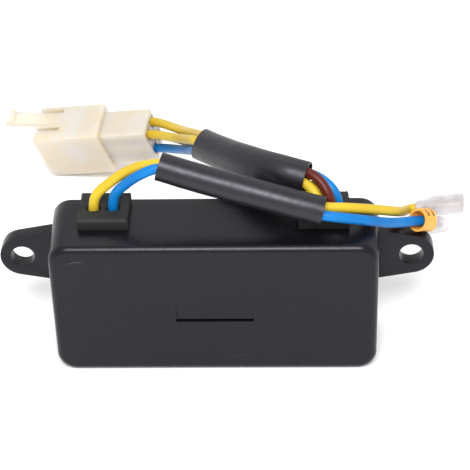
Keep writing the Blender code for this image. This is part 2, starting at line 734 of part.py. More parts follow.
def make_plug_leads():
    centre_line = smooth(in_metres(upper_sleeve_route), 8 * MM)
    tube('upper_sleeve', smooth(in_metres(upper_sleeve_route), sleeve_step), upper_sleeve_diameter,
         sleeve_vinyl, resolution=6, wall=sleeve_wall)
    twist = 135
    # Name, material, angle at the sleeve's left end, way in the plug, points left of the sleeve, points right of it
    leads = (
        ('yellow_plug_lead_1', lead_yellow, 0, 0,
         [(-5.5, 42.3, 38.2), (-8.4, 52.4, 32.8), (-11.8, 64.1, 26.6)],
         [(24.6, 3.0, 48.0), (25.7, 1.3, 45.7)]),
        ('yellow_plug_lead_2', lead_yellow, 90, 1,
         [(-7.7, 40.2, 37.9), (-10.3, 49.7, 32.2), (-13.3, 60.7, 25.7)],
         [(25.6, 5.5, 46.0), (27.4, 3.9, 44.7)]),
        ('blue_plug_lead', lead_blue, 180, 2,
         [(-7.0, 40.1, 34.5), (-9.4, 50.2, 28.2), (-12.1, 61.8, 20.9)],
         [(27.4, 7.4, 47.6), (30.4, 5.0, 45.9)]),
        ('brown_plug_lead', lead_brown, 270, 3,
         [(-4.8, 42.2, 34.9), (-7.4, 52.9, 28.7), (-10.6, 65.3, 21.7)],
         [(26.6, 4.5, 49.7), (29.0, 2.0, 46.9)]),
    )
    for name, material, angle, way, left, right in leads:
        y, z = plug_ways[way]
        entry = [plug_place @ Vector((x, y, z)) for x in
                 (plug_rear - lead_in_plug, plug_rear, plug_rear + 4 * MM)]
        line = beside(centre_line, four_offset, angle, twist)
        spot = right_lead_spots[way]
        down = list(reversed(up_from_board(spot)))
        route = entry + list(reversed(in_metres(left))) + line + in_metres(right)
        route += [Vector((spot[0], spot[1], grommet_top + 1.2 * MM))] + down
        tube(name, smooth(route, lead_point_step), lead_diameter, material)


def make_marker():
    marker_route = in_metres([(50.6, 7.7, 34.1), (52.3, 8.9, 33.4), (54.0, 10.2, 32.3)])
    tube('wire_marker', smooth(marker_route, 2.5 * MM), marker_diameter, marker_orange,
         resolution=6, wall=marker_wall)


make_case()
make_grommet(-1, 'left', left_lead_spots)
make_grommet(1, 'right', right_lead_spots)
make_resin()
make_board()
make_board_parts()
make_field_leads()
make_plug_leads()
make_marker()
for colour, place in (('yellow', yellow_cover), ('blue', blue_cover)):
    make_cover(colour + '_terminal_cover', place)
    make_terminal(colour + '_terminal', place)
make_plug()
make_pins()
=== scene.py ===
# Looks of the automatic voltage regulator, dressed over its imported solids.
# Lengths in the dictionaries are millimetres; everything is made in metres.
import math

import bmesh
import bpy
from mathutils import Euler, Matrix, Vector, noise


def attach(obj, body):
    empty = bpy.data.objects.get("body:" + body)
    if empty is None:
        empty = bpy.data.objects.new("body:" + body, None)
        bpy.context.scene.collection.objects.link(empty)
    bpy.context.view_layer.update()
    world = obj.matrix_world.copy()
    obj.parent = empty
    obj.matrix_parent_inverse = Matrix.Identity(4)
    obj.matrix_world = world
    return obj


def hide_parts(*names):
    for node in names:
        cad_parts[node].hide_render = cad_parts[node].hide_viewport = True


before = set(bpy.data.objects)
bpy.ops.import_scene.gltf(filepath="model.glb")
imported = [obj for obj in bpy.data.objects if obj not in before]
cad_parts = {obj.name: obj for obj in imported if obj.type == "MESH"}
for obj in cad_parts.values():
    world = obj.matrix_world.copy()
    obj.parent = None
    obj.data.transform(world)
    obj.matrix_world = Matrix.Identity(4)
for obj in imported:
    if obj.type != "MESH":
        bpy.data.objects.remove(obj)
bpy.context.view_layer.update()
mm = 0.001
print("frame loaded:", len(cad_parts), "nodes")


def loose(name, data):
    helper = bpy.data.objects.new(name, data)
    bpy.context.scene.collection.objects.link(helper)
    return helper


# Camera, floor and light; the boxes' places and sizes are metres
viewSettings = {"target": (5.26, 0.0, 35.38), "distance": 436.22, "rise": 36.0, "swing": 2.5,
                "roll": -1.82, "lens": 133.44}
lightSettings = {
    "floorTone": 0.95, "floorHalf": 4.0, "skyStrength": 0.86,
    "keyBox": {"place": (0.0, -0.4, 0.58), "size": (0.34, 0.28), "power": 5.2, "aim": (0, 0, 0.02)},
    "backdropBox": {"place": (0.0, 0.65, 0.82), "size": (0.9, 0.3), "power": 0.9, "aim": (0, 0.6, 0)},
}


def aimCamera(s):
    camera = loose("camera", bpy.data.cameras.new("camera"))
    camera.data.lens = s["lens"]
    camera.data.clip_start = 0.01
    swing, rise, roll = (math.radians(a) for a in (s["swing"], 90 - s["rise"], s["roll"]))
    turn = Matrix.Rotation(swing, 4, "Z") @ Matrix.Rotation(rise, 4, "X")
    place = Vector(s["target"]) * mm + turn @ Vector((0, 0, s["distance"] * mm))
    camera.matrix_world = Matrix.Translation(place) @ turn @ Matrix.Rotation(roll, 4, "Z")
    bpy.context.scene.camera = camera


def softbox(name, s):
    light = loose(name, bpy.data.lights.new(name, "AREA"))
    light.data.shape = "RECTANGLE"
    light.data.size, light.data.size_y = s["size"]
    light.data.energy = s["power"]
    turn = (Vector(s["place"]) - Vector(s["aim"])).to_track_quat("Z", "Y")
    light.matrix_world = Matrix.Translation(s["place"]) @ turn.to_matrix().to_4x4()


def lightStudio(s):
    scene = bpy.context.scene
    scene.view_settings.view_transform = "Standard"
    scene.world = bpy.data.worlds.new("studio")
    scene.world.use_nodes = True
    sky = scene.world.node_tree.nodes["Background"].inputs
    sky["Color"].default_value = (1, 1, 1, 1)
    sky["Strength"].default_value = s["skyStrength"]
    for name in ("keyBox", "backdropBox"):
        softbox(name, s[name])
    ground = bpy.data.meshes.new("floor")
    ground.from_pydata([(x * s["floorHalf"], y * s["floorHalf"], 0) for x, y in ((-1, -1), (1, -1), (1, 1), (-1, 1))],
                       [], [(0, 1, 2, 3)])
    pale = bpy.data.materials.new("paleFloor")
    pale.use_nodes = True
    shader = pale.node_tree.nodes["Principled BSDF"].inputs
    shader["Base Color"].default_value = (*[s["floorTone"]] * 3, 1)
    shader["Roughness"].default_value = 0.9
    ground.materials.append(pale)
    loose("floor", ground)


aimCamera(viewSettings)
lightStudio(lightSettings)
print("camera and studio set")


# Node helpers, for shaders and for geometry
def feed(tree, socket, source):
    # A link from another socket, or a plain value
    if isinstance(source, bpy.types.NodeSocket):
        tree.links.new(source, socket)
    else:
        socket.default_value = source


def wire(tree, node, **sources):
    for key, source in sources.items():
        feed(tree, node.inputs[key.replace("_", " ")], source)
    return node


def addNode(tree, kind, **given):
    # Names in lower case are the node's own settings, the others its sockets
    node = tree.nodes.new(kind)
    for key in [key for key in given if key[0].islower()]:
        setattr(node, key, given.pop(key))
    return wire(tree, node, **given)


def sums(tree, kind, first, second=0.0):
    node = addNode(tree, "ShaderNodeMath", operation=kind)
    for socket, source in zip(node.inputs, (first, second)):
        feed(tree, socket, source)
    return node.outputs["Value"]


def times(tree, first, second):
    return sums(tree, "MULTIPLY", first, second)


def newTree(kind, name, given, outputs):
    # An input's type follows its value, or its name where it has none
    tree = bpy.data.node_groups.new(name, kind + "NodeTree")
    for label, value in given.items():
        typed = {float: "Float", int: "Int"}.get(type(value), label)
        socket = tree.interface.new_socket(label, in_out="INPUT", socket_type="NodeSocket" + typed)
        if value is not None:
            socket.default_value = value
    for label in outputs:
        typed = "Float" if kind == "Shader" else label
        tree.interface.new_socket(label, in_out="OUTPUT", socket_type="NodeSocket" + typed)
    return tree, addNode(tree, "NodeGroupInput").outputs, addNode(tree, "NodeGroupOutput")


def noiseNode(tree, vector, scale, detail=3.0, roughness=0.5, distortion=0.0):
    return addNode(tree, "ShaderNodeTexNoise", Vector=vector, Scale=scale, Detail=detail,
                Roughness=roughness, Distortion=distortion).outputs["Fac"]


def ramp(tree, value, low, high, toLow=0.0, toHigh=1.0):
    return addNode(tree, "ShaderNodeMapRange", clamp=True, Value=value, From_Min=low, From_Max=high,
                To_Min=toLow, To_Max=toHigh).outputs["Result"]


def mixColour(tree, factor, first, second):
    node = addNode(tree, "ShaderNodeMix", data_type="RGBA", Factor=factor)
    for socket, colour in zip(node.inputs[6:8], (first, second)):
        feed(tree, socket, (*colour, 1) if isinstance(colour, (tuple, list)) else colour)
    return node.outputs[2]


# Shader groups that several finishes share
def buildGrainGroup():
    # Spark-eroded mould texture: close rounded pits, with a broad waviness under them
    tree, given, out = newTree("Shader", "mouldGrain", {
        "Vector": None, "Grain Scale": 2600.0, "Wave Scale": 60.0, "Wave Share": 0.4}, ("Height", "Tone"))
    fine = noiseNode(tree, given["Vector"], given["Grain Scale"], 2.0, 0.6)
    pits = addNode(tree, "ShaderNodeTexVoronoi", feature="SMOOTH_F1", Vector=given["Vector"],
                Scale=given["Grain Scale"])
    wave = noiseNode(tree, given["Vector"], given["Wave Scale"], 1.5)
    grain = sums(tree, "ADD", times(tree, fine, 0.6), times(tree, pits.outputs["Distance"], 0.5))
    height = sums(tree, "ADD", grain, times(tree, wave, given["Wave Share"]))
    wire(tree, out, Height=height, Tone=ramp(tree, grain, 0.3, 0.8))
    return tree


def buildDustGroup():
    # Loose specks and smudges left by handling
    tree, given, out = newTree("Shader", "handlingDust", {
        "Vector": None, "Speck Scale": 1400.0, "Smudge Scale": 90.0, "Amount": 0.5}, ("Specks", "Smudge"))
    dots = addNode(tree, "ShaderNodeTexVoronoi", feature="F1", Vector=given["Vector"],
                Scale=given["Speck Scale"], Randomness=1.0)
    patch = noiseNode(tree, given["Vector"], given["Smudge Scale"], 4.0, 0.6, 0.4)
    near = ramp(tree, dots.outputs["Distance"], 0.05, 0.16, 1.0, 0.0)
    specks = times(tree, near, ramp(tree, patch, 0.56, 0.68))
    wire(tree, out, Specks=times(tree, specks, given["Amount"]),
         Smudge=times(tree, ramp(tree, patch, 0.4, 0.75), given["Amount"]))
    return tree


def distanceFrom(tree, value, middle):
    return sums(tree, "ABSOLUTE", sums(tree, "SUBTRACT", value, middle))


def buildScratchGroup():
    # A few fine hairlines in two directions
    tree, given, out = newTree("Shader", "hairScratches", {"Vector": None, "Scale": 45.0, "Amount": 0.5}, ("Mask",))
    lines = []
    for angle, stretch in ((0.35, 14.0), (-0.9, 11.0)):
        turn = addNode(tree, "ShaderNodeMapping", Vector=given["Vector"],
                    Rotation=(angle, 0.4, angle * 2), Scale=(1.0, stretch, stretch))
        streak = noiseNode(tree, turn.outputs["Vector"], given["Scale"], 1.0, 0.5, 0.6)
        lines.append(ramp(tree, distanceFrom(tree, streak, 0.5), 0.0, 0.006, 1.0, 0.0))
    broken = ramp(tree, noiseNode(tree, given["Vector"], given["Scale"], 2.0), 0.58, 0.66)
    both = times(tree, sums(tree, "MAXIMUM", *lines), broken)
    wire(tree, out, Mask=times(tree, both, given["Amount"]))
    return tree


mouldGrain = buildGrainGroup()
handlingDust = buildDustGroup()
hairScratches = buildScratchGroup()


def useGroup(tree, group, vector, **values):
    return addNode(tree, "ShaderNodeGroup", node_tree=group, Vector=vector, **values).outputs


def startFinish(name, **sockets):
    material = bpy.data.materials.new(name)
    material.use_nodes = True
    tree = material.node_tree
    wire(tree, tree.nodes["Principled BSDF"], **sockets)
    return material, tree, addNode(tree, "ShaderNodeTexCoord").outputs["Object"]


def endFinish(material, colour, roughness, height, strength, distance):
    tree = material.node_tree
    bump = addNode(tree, "ShaderNodeBump", Strength=strength, Distance=distance * mm, Height=height)
    wire(tree, tree.nodes["Principled BSDF"], Base_Color=colour, Roughness=roughness, Normal=bump.outputs["Normal"])
    return material


def arcScratch(tree, place, centre, radius, middle, reach):
    # One thin curved scratch on the front: a slice of a circle near its middle point
    def distanceTo(spot):
        node = addNode(tree, "ShaderNodeVectorMath", operation="DISTANCE")
        for socket, source in zip(node.inputs, (place, [v * mm for v in spot])):
            feed(tree, socket, source)
        return node.outputs["Value"]

    line = ramp(tree, distanceFrom(tree, distanceTo(centre), radius * mm), 0.03 * mm, 0.1 * mm, 1.0, 0.0)
    return times(tree, line, ramp(tree, distanceTo(middle), 0.3 * reach * mm, reach * mm, 0.6, 0.0))


def plasticFinish(name, base, worn, roughness, grainScale=2600.0, grainDepth=0.02, dust=0.5, scratch=0.5, waves=0.4,
                  arc=None, **more):
    # Moulded plastic or rubber: grain, smudges, specks and hairlines in its own proportions
    material, tree, place = startFinish(name, **more)
    grain = useGroup(tree, mouldGrain, place, Grain_Scale=grainScale, Wave_Share=waves)
    dirt = useGroup(tree, handlingDust, place, Amount=dust)
    marks = sums(tree, "MAXIMUM", dirt["Specks"], useGroup(tree, hairScratches, place, Amount=scratch)["Mask"])
    if arc:
        marks = sums(tree, "MAXIMUM", marks, arcScratch(tree, place, *arc))
    colour = mixColour(tree, times(tree, grain["Tone"], 0.5), base, worn)
    colour = mixColour(tree, times(tree, dirt["Smudge"], 0.35), colour, worn)
    colour = mixColour(tree, marks, colour, [min(1, v * 3 + 0.12) for v in worn])
    rough = ramp(tree, grain["Tone"], 0, 1, roughness - 0.04, roughness + 0.06)
    rough = sums(tree, "ADD", rough, times(tree, dirt["Smudge"], 0.12))
    return endFinish(material, colour, rough, grain["Height"], 0.5, grainDepth)


def leadFinish(name, base, deep):
    # Extruded insulation: even colour, a faint streak along it, slight sheen
    material, tree, place = startFinish(name, Specular_IOR_Level=0.22)
    dirt = useGroup(tree, handlingDust, place, Amount=0.35, Smudge_Scale=160.0)
    soft = noiseNode(tree, place, 70.0)
    colour = mixColour(tree, ramp(tree, soft, 0.35, 0.7), base, deep)
    colour = mixColour(tree, times(tree, dirt["Smudge"], 0.25), colour, deep)
    rough = ramp(tree, soft, 0.3, 0.7, 0.34, 0.44)
    return endFinish(material, colour, rough, noiseNode(tree, place, 700.0, 2.0), 0.25, 0.03)


def brassFinish():
    material, tree, place = startFinish("stampedBrass", Metallic=1.0)
    lines = useGroup(tree, hairScratches, place, Scale=300.0, Amount=0.8)
    tarnish = noiseNode(tree, place, 420.0, 4.0, 0.65)
    colour = mixColour(tree, ramp(tree, tarnish, 0.4, 0.7), (0.86, 0.7, 0.36), (0.62, 0.45, 0.2))
    colour = mixColour(tree, lines["Mask"], colour, (0.95, 0.85, 0.6))
    return endFinish(material, colour, ramp(tree, tarnish, 0.3, 0.75, 0.2, 0.42), tarnish, 0.3, 0.02)


def clearFinish():
    # Soft clear vinyl, milky where it is seen edge on
    material, tree, place = startFinish("clearVinyl", Alpha=0.58, IOR=1.4)
    haze = noiseNode(tree, place, 240.0)
    colour = mixColour(tree, ramp(tree, haze, 0.35, 0.65), (0.66, 0.63, 0.645), (0.5, 0.475, 0.49))
    rough = ramp(tree, haze, 0.3, 0.7, 0.14, 0.28)
    return endFinish(material, colour, rough, noiseNode(tree, place, 340.0, 2.0), 0.35, 0.08)


def nylonFinish():
    # Natural nylon: light goes some way in, and the thick parts turn warm
    material, tree, place = startFinish(
        "naturalNylon", Transmission_Weight=0.3, IOR=1.5, Subsurface_Weight=0.7, Subsurface_Scale=0.007,
        Subsurface_Radius=(1.0, 0.8, 0.5))
    grain = useGroup(tree, mouldGrain, place, Grain_Scale=1500.0, Wave_Scale=110.0, Wave_Share=0.8)
    dirt = useGroup(tree, handlingDust, place, Amount=0.4)
    cloud = noiseNode(tree, place, 110.0, 3.0, 0.55, 0.5)
    colour = mixColour(tree, ramp(tree, cloud, 0.35, 0.7), (0.8, 0.72, 0.64), (0.8, 0.63, 0.44))
    colour = mixColour(tree, times(tree, dirt["Smudge"], 0.15), colour, (0.8, 0.66, 0.5))
    return endFinish(material, colour, ramp(tree, grain["Tone"], 0, 1, 0.3, 0.42), grain["Height"], 0.35, 0.03)


def markerFinish():
    # Printed wire marker: plain dark bars across its top, where the tube's own mesh is marked
    material, tree, place = startFinish("orangeMarker", Subsurface_Weight=0.6, Subsurface_Scale=0.002,
                                        Subsurface_Radius=(1.0, 0.4, 0.1))
    soft = noiseNode(tree, place, 300.0)
    colour = mixColour(tree, soft, (0.78, 0.39, 0.075), (0.72, 0.32, 0.045))
    ink = addNode(tree, "ShaderNodeAttribute", attribute_name="ink").outputs["Fac"]
    mask = times(tree, ramp(tree, ink, 0.4, 0.6), ramp(tree, noiseNode(tree, place, 900.0), 0.35, 0.5))
    return endFinish(material, mixColour(tree, mask, colour, (0.06, 0.035, 0.02)), 0.45, soft, 0.3, 0.05)


coolSheen = (0.93, 0.9, 1.0, 1.0)
casePlastic = plasticFinish("casePlastic", (0.003, 0.0027, 0.0042), (0.0062, 0.0058, 0.0082), 0.29, grainScale=2000.0,
                            grainDepth=0.03, dust=0.22, scratch=0.05, Specular_IOR_Level=0.27, Specular_Tint=coolSheen,
                            arc=((-33.2, -10.35, 28.6), 6.2, (-34.0, -10.35, 34.75), 2.6))
grommetRubber = plasticFinish("grommetRubber", (0.0085, 0.008, 0.008), (0.016, 0.015, 0.0145), 0.66, grainScale=1100.0,
                              grainDepth=0.08, dust=0.5, scratch=0.0, Specular_IOR_Level=0.4)
sleeveVinyl = plasticFinish("sleeveVinyl", (0.0085, 0.008, 0.0105), (0.016, 0.0155, 0.0185), 0.36, grainScale=900.0,
                            grainDepth=0.035, dust=0.6, scratch=0.15, waves=0.9, Specular_IOR_Level=0.42,
                            Specular_Tint=coolSheen)
pouredResin = plasticFinish("pouredResin", (0.008, 0.008, 0.009), (0.014, 0.014, 0.015), 0.2, grainScale=500.0,
                            grainDepth=0.02, dust=0.5, scratch=0.15, waves=1.2, Coat_Weight=0.3)
insulation = {
    "yellow": leadFinish("yellowInsulation", (0.59, 0.42, 0.028), (0.52, 0.34, 0.018)),
    "blue": leadFinish("blueInsulation", (0.002, 0.17, 0.49), (0.002, 0.12, 0.37)),
    "brown": leadFinish("brownInsulation", (0.092, 0.013, 0.007), (0.07, 0.009, 0.005)),
}
stampedBrass = brassFinish()
clearVinyl = clearFinish()
naturalNylon = nylonFinish()
orangeMarker = markerFinish()
print("finishes made")


# Mesh helpers
def at(x, y, z):
    return Vector((x, y, z)) * mm


def shifted(x, y=0.0, z=0.0):
    return Matrix.Translation(at(x, y, z))


def placeMesh(name, mesh, material, smooth, node=None):
    piece = loose(name, mesh)
    mesh.materials.clear()
    mesh.materials.append(material)
    mesh.shade_smooth()
    mesh.set_sharp_from_angle(angle=math.radians(smooth))
    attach(piece, "root")
    if node:
        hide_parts(node)
    return piece


def meshFrom(work, name, fixNormals=True):
    if fixNormals:
        bmesh.ops.recalc_face_normals(work, faces=work.faces)
    mesh = bpy.data.meshes.new(name)
    work.to_mesh(mesh)
    work.free()
    return mesh


def addTo(work, other):
    spare = meshFrom(other, "spare", False)
    work.from_mesh(spare)
    bpy.data.meshes.remove(spare)


def mergeDoubles(work, distance=0.001):
    bmesh.ops.remove_doubles(work, verts=work.verts, dist=distance * mm)


def bevelAll(work, width, segments=2):
    bmesh.ops.bevel(work, geom=work.edges[:], offset=width * mm, segments=segments, profile=0.5, affect="EDGES")


def settle(helper):
    # The helper's modifiers become its mesh, and the helper and its tools go
    bpy.context.view_layer.update()
    mesh = bpy.data.meshes.new_from_object(helper.evaluated_get(bpy.context.evaluated_depsgraph_get()))
    tools = [step.object for step in helper.modifiers if step.type == "BOOLEAN"]
    for used in (helper, *tools):
        bpy.data.objects.remove(used, do_unlink=True)
    return mesh


def cut(helper, tool, operation="DIFFERENCE"):
    step = helper.modifiers.new(tool.name, "BOOLEAN")
    step.object = tool
    step.operation = operation
    step.solver = "EXACT"


def roundEdges(helper, width, segments, angle):
    step = helper.modifiers.new("rounded", "BEVEL")
    step.width = width * mm
    step.segments = segments
    step.limit_method = "ANGLE"
    step.angle_limit = math.radians(angle)
    step.harden_normals = False


def blockMesh(name, low, high, matrix=None, edge=0.0):
    work = bmesh.new()
    bmesh.ops.create_cube(work, size=1)
    for corner in work.verts:
        corner.co = [high[i] * mm if corner.co[i] > 0 else low[i] * mm for i in range(3)]
    if edge:
        bevelAll(work, edge)
    if matrix is not None:
        work.transform(matrix)
    return loose(name, meshFrom(work, name))


def ringLoft(rings, closeFirst=True, closeLast=True):
    # Skins rings of equal count; each ring is a list of points in metres
    work = bmesh.new()
    made = [[work.verts.new(spot) for spot in ring] for ring in rings]
    count = len(made[0])
    for low, high in zip(made, made[1:]):
        for i in range(count):
            work.faces.new((low[i], low[(i + 1) % count], high[(i + 1) % count], high[i]))
    if closeFirst:
        work.faces.new(made[0])
    if closeLast:
        work.faces.new(made[-1])
    return work


def wallLoft(outside, inside):
    # An open tube with a real wall between two sets of rings
    work = ringLoft(outside + inside[::-1] + [outside[0]], False, False)
    mergeDoubles(work)
    return work


def circle(radius, count):
    turns = [2 * math.pi * k / count for k in range(count)]
    return [(radius * math.cos(turn), radius * math.sin(turn)) for turn in turns]


def barrel(section, x0, x1, lip, mouth, waist, y=0.0, z=0.0):
    # A crimped barrel along X, narrower at its mouths and its waist
    stations = ((x0, mouth), (x0 + lip, 1), ((x0 + x1) / 2, waist), (x1 - lip, 1), (x1, mouth))
    return ringLoft([[at(x, y + a * w, z + b * w) for a, b in section] for x, w in stations])


def markPoints(mesh, name, chosen):
    # A point attribute that is 1 where a spot is chosen and 0 elsewhere
    marks = mesh.attributes.new(name, "FLOAT", "POINT")
    for vertex in mesh.vertices:
        marks.data[vertex.index].value = 1.0 if chosen(vertex.co) else 0.0


# Routes of the leads, close to those in the part's source
leadSettings = {
    "width": 2.6, "pairOffset": 1.42, "pairTwist": 20, "fourOffset": 2.12, "fourTwist": 135, "inPlug": 5.0,
    "lowerSleeve": [(-13.0, 2.6, 54.5), (-5.4, 1.2, 52.6), (2.5, -0.4, 50.9), (10.6, -1.8, 49.2),
                    (19.1, -3.2, 47.4), (27.2, -4.2, 45.5)],
    "upperSleeve": [(-4.7, 35.0, 40.0), (1.6, 26.0, 42.8), (9.2, 16.0, 46.4), (16.6, 8.9, 48.5), (23.4, 6.5, 47.9)],
    "marker": [(50.6, 7.7, 34.1), (52.3, 8.9, 33.4), (54.0, 10.2, 32.3)],
    "boardEnd": 25.0, "grommetTop": 41.71, "backRow": 3.55, "frontRow": 0.45,
}
caseSettings = {
    "length": 81.8, "height": 38.8, "depth": 20.7, "draft": 1.7, "sideWall": 1.6, "frontWall": 1.8, "corner": 5.0,
    "fillet": 1.8, "rim": 0.25, "holePitch": 100.0, "holeRadius": 3.13, "holeHeight": 24.4, "earThickness": 4.15,
    "earEnd": 5.8, "earRoot": 15.4, "earEdge": 0.45, "recess": (19.6, 5.2, 0.45), "recessMiddle": 18.8,
    "recessTop": 0.3, "groove": (0.55, 1.0), "notchWidth": 10.4, "notchDepth": 11.4, "grommetOffset": 27.5,
}
plugSettings = {
    "corner": (-52.3, 79.3, 0.05), "turn": (19.1, -12.1, -13.6), "shroud": (20.6, 12.8, 16.7), "wall": 1.3,
    "floor": 2.0, "rear": (14.0, 9.8, 12.8), "wayAcross": 4.7, "wayUp": 6.3, "waySize": 3.4,
    "latch": (9.7, 4.4, 1.4), "barb": 1.7, "latchRise": 7.0, "slot": (7.7, 1.2), "pin": (10.0, 2.8, 0.8),
}
fourCorners = ((1, 1), (-1, 1), (-1, -1), (1, -1))
plugPlace = shifted(*plugSettings["corner"]) @ Euler(
    [math.radians(a) for a in plugSettings["turn"]], "XYZ").to_matrix().to_4x4()
plugRear = plugSettings["shroud"][0] + plugSettings["rear"][0]
plugWays = [(plugSettings["shroud"][1] / 2 + a * plugSettings["wayAcross"] / 2,
             plugSettings["shroud"][2] / 2 + b * plugSettings["wayUp"] / 2) for a, b in fourCorners]


def smoothRoute(route, step):
    # Centripetal curve through the route's own points, read at even distances
    spots = [Vector(spot) for spot in route]
    ends = [spots[0] * 2 - spots[1]] + spots + [spots[-1] * 2 - spots[-2]]
    fine = [spots[0]]
    for before, first, last, after in zip(ends, ends[1:], ends[2:], ends[3:]):
        knots = [0.0]
        for one, two in ((before, first), (first, last), (last, after)):
            knots.append(knots[-1] + math.sqrt((two - one).length))
        for part in range(1, 13):
            at = knots[1] + (knots[2] - knots[1]) * part / 12
            low = before.lerp(first, (at - knots[0]) / (knots[1] - knots[0]))
            mid = first.lerp(last, (at - knots[1]) / (knots[2] - knots[1]))
            high = last.lerp(after, (at - knots[2]) / (knots[3] - knots[2]))
            low = low.lerp(mid, (at - knots[0]) / (knots[2] - knots[0]))
            high = mid.lerp(high, (at - knots[1]) / (knots[3] - knots[1]))
            fine.append(low.lerp(high, (at - knots[1]) / (knots[2] - knots[1])))
    reach = [0.0]
    for one, two in zip(fine, fine[1:]):
        reach.append(reach[-1] + (two - one).length)
    count = max(2, round(reach[-1] / step))
    even, index = [fine[0]], 0
    for number in range(1, count):
        wanted = reach[-1] * number / count
        while reach[index + 1] < wanted:
            index += 1
        even.append(fine[index].lerp(fine[index + 1], (wanted - reach[index]) / (reach[index + 1] - reach[index])))
    return even + [fine[-1]]


def inMetres(route):
    return [Vector(spot) * mm for spot in route]


def beside(centreLine, offset, startAngle, twist):
    # Keeps a distance from a sleeve's centre line; the angle runs from its upper side to its front
    viewerSide, spots = Vector((0.0, -0.81, 0.59)), []
    for number, spot in enumerate(centreLine):
        along = (centreLine[min(number + 1, len(centreLine) - 1)] - centreLine[max(number - 1, 0)]).normalized()
        front = (viewerSide - along * viewerSide.dot(along)).normalized()
        angle = math.radians(startAngle + twist * number / (len(centreLine) - 1))
        spots.append(spot + (front.cross(along) * math.cos(angle) + front * math.sin(angle)) * offset * mm)
    return spots


def upFromBoard(x, y):
    s = leadSettings
    return inMetres([(x, y, z) for z in (s["boardEnd"], s["boardEnd"] + 8, s["grommetTop"] - 2)])


def lineThrough(name, spots):
    line = bpy.data.curves.new(name, "CURVE")
    line.dimensions = "3D"
    spline = line.splines.new("POLY")
    spline.points.add(len(spots) - 1)
    for point, spot in zip(spline.points, spots):
        point.co = (*spot, 1.0)
    return line


def makeLead(node, spot, route):
    # One round lead, and where it leaves the top of its grommet
    colour, *words = node.split("_")
    spots = smoothRoute(smoothRoute(route, 5.2 * mm), 1.2 * mm)
    name = colour + "".join(word.capitalize() for word in words)
    line = lineThrough(name, spots)
    line.bevel_depth = leadSettings["width"] / 2 * mm
    line.bevel_resolution = 5
    line.use_fill_caps = True
    line.splines[0].use_smooth = True
    line.materials.append(insulation[colour])
    length = sum((two - one).length for one, two in zip(spots, spots[1:]))
    return loose(name, line), length, node, tuple(v * mm for v in (*spot, leadSettings["grommetTop"]))


coverPlaces = {
    "yellow": (Vector((51.1, 17.2, 31.0)), Vector((0.983, 0.0, 0.183)), Vector((0.0, 0.15, 0.99))),
    "blue": (Vector((54.9, 11.5, 30.7)), Vector((0.22, 0.74, -0.64)), Vector((-0.14, 0.65, 0.75))),
}
coverSettings = {
    "length": 12.8, "neckLength": 4.2, "neck": 4.1, "width": 6.0, "thickness": 3.7, "wall": 0.45, "sheet": 0.4,
    "terminalWidth": 3.5, "terminalLength": 5.4, "curl": 1.5, "barrel": 2.6, "droop": {"yellow": 9.0, "blue": 0.0},
}


def makeFieldLeads(s):
    # Each row has the spot in the grommet, the angle in the sleeve, the points before it and those after it
    rows = {
        "yellow": ((-30.2, s["backRow"]), 298,
                   [(-30.2, 3.6, 43.4), (-28.6, 3.8, 46.0), (-25.3, 4.4, 48.8), (-20.4, 4.6, 52.1)],
                   [(32.4, -2.0, 44.9), (38.3, 0.8, 42.5), (43.7, 5.0, 39.0), (46.9, 9.8, 35.3), (48.1, 13.2, 33.0),
                    (48.7, 15.6, 31.6), (49.6, 17.2, 30.7)]),
        "blue": ((-25.3, s["backRow"]), 118,
                 [(-25.3, 3.5, 43.4), (-24.0, 3.0, 46.5), (-20.8, 1.8, 50.3), (-16.8, 1.0, 53.5)],
                 [(32.6, -5.1, 44.0), (38.2, -2.8, 41.6), (42.5, 0.4, 38.7), (46.0, 4.0, 36.0), (49.1, 6.7, 34.5),
                  (52.2, 8.9, 33.0), (54.5, 10.4, 31.7)]),
    }
    centreLine = smoothRoute(inMetres(s["lowerSleeve"]), 8 * mm)
    leads = []
    for colour, (spot, angle, rise, fall) in rows.items():
        start, axis = coverPlaces[colour][0] * mm, coverPlaces[colour][1].normalized()
        route = upFromBoard(*spot) + inMetres(rise) + beside(centreLine, s["pairOffset"], angle, s["pairTwist"])
        route += inMetres(fall) + [start, start + axis * (coverSettings["neckLength"] - 0.5) * mm]
        leads.append(makeLead(colour + "_field_lead", spot, route))
    return leads


def makePlugLeads(s):
    # Each row has the spot in the grommet, the points towards the plug and those towards the grommet
    rows = {
        "yellow_plug_lead_1": ((25.8, s["frontRow"]), [(-5.5, 42.2, 38.1), (-8.5, 52.2, 32.5), (-12.0, 63.7, 26.1)],
                               [(24.6, 3.0, 48.0), (25.7, 1.3, 45.7)]),
        "yellow_plug_lead_2": ((27.6, s["backRow"]), [(-7.7, 40.2, 37.8), (-10.3, 49.6, 32.1), (-13.3, 60.5, 25.4)],
                               [(25.6, 5.5, 46.0), (27.4, 3.9, 44.7)]),
        "blue_plug_lead": ((31.3, s["backRow"]), [(-7.0, 40.1, 34.5), (-9.4, 50.1, 28.1), (-12.1, 61.7, 20.7)],
                           [(27.2, 7.1, 47.0), (30.1, 4.8, 45.1)]),
        "brown_plug_lead": ((29.5, s["frontRow"]), [(-4.8, 42.1, 34.8), (-7.5, 52.7, 28.5), (-10.7, 65.0, 21.3)],
                            [(26.1, 4.4, 49.1), (28.5, 1.9, 46.3)]),
    }
    centreLine = smoothRoute(inMetres(s["upperSleeve"]), 8 * mm)
    leads = []
    for way, (node, (spot, left, right)) in enumerate(rows.items()):
        route = [plugPlace @ at(x, *plugWays[way]) for x in (plugRear - s["inPlug"], plugRear, plugRear + 0.8)]
        route += inMetres(left)[::-1] + beside(centreLine, s["fourOffset"], 90 * way, s["fourTwist"])
        route += inMetres(right) + [at(*spot, s["grommetTop"] + 1.2)] + upFromBoard(*spot)[::-1]
        leads.append(makeLead(node, spot, route))
    return leads


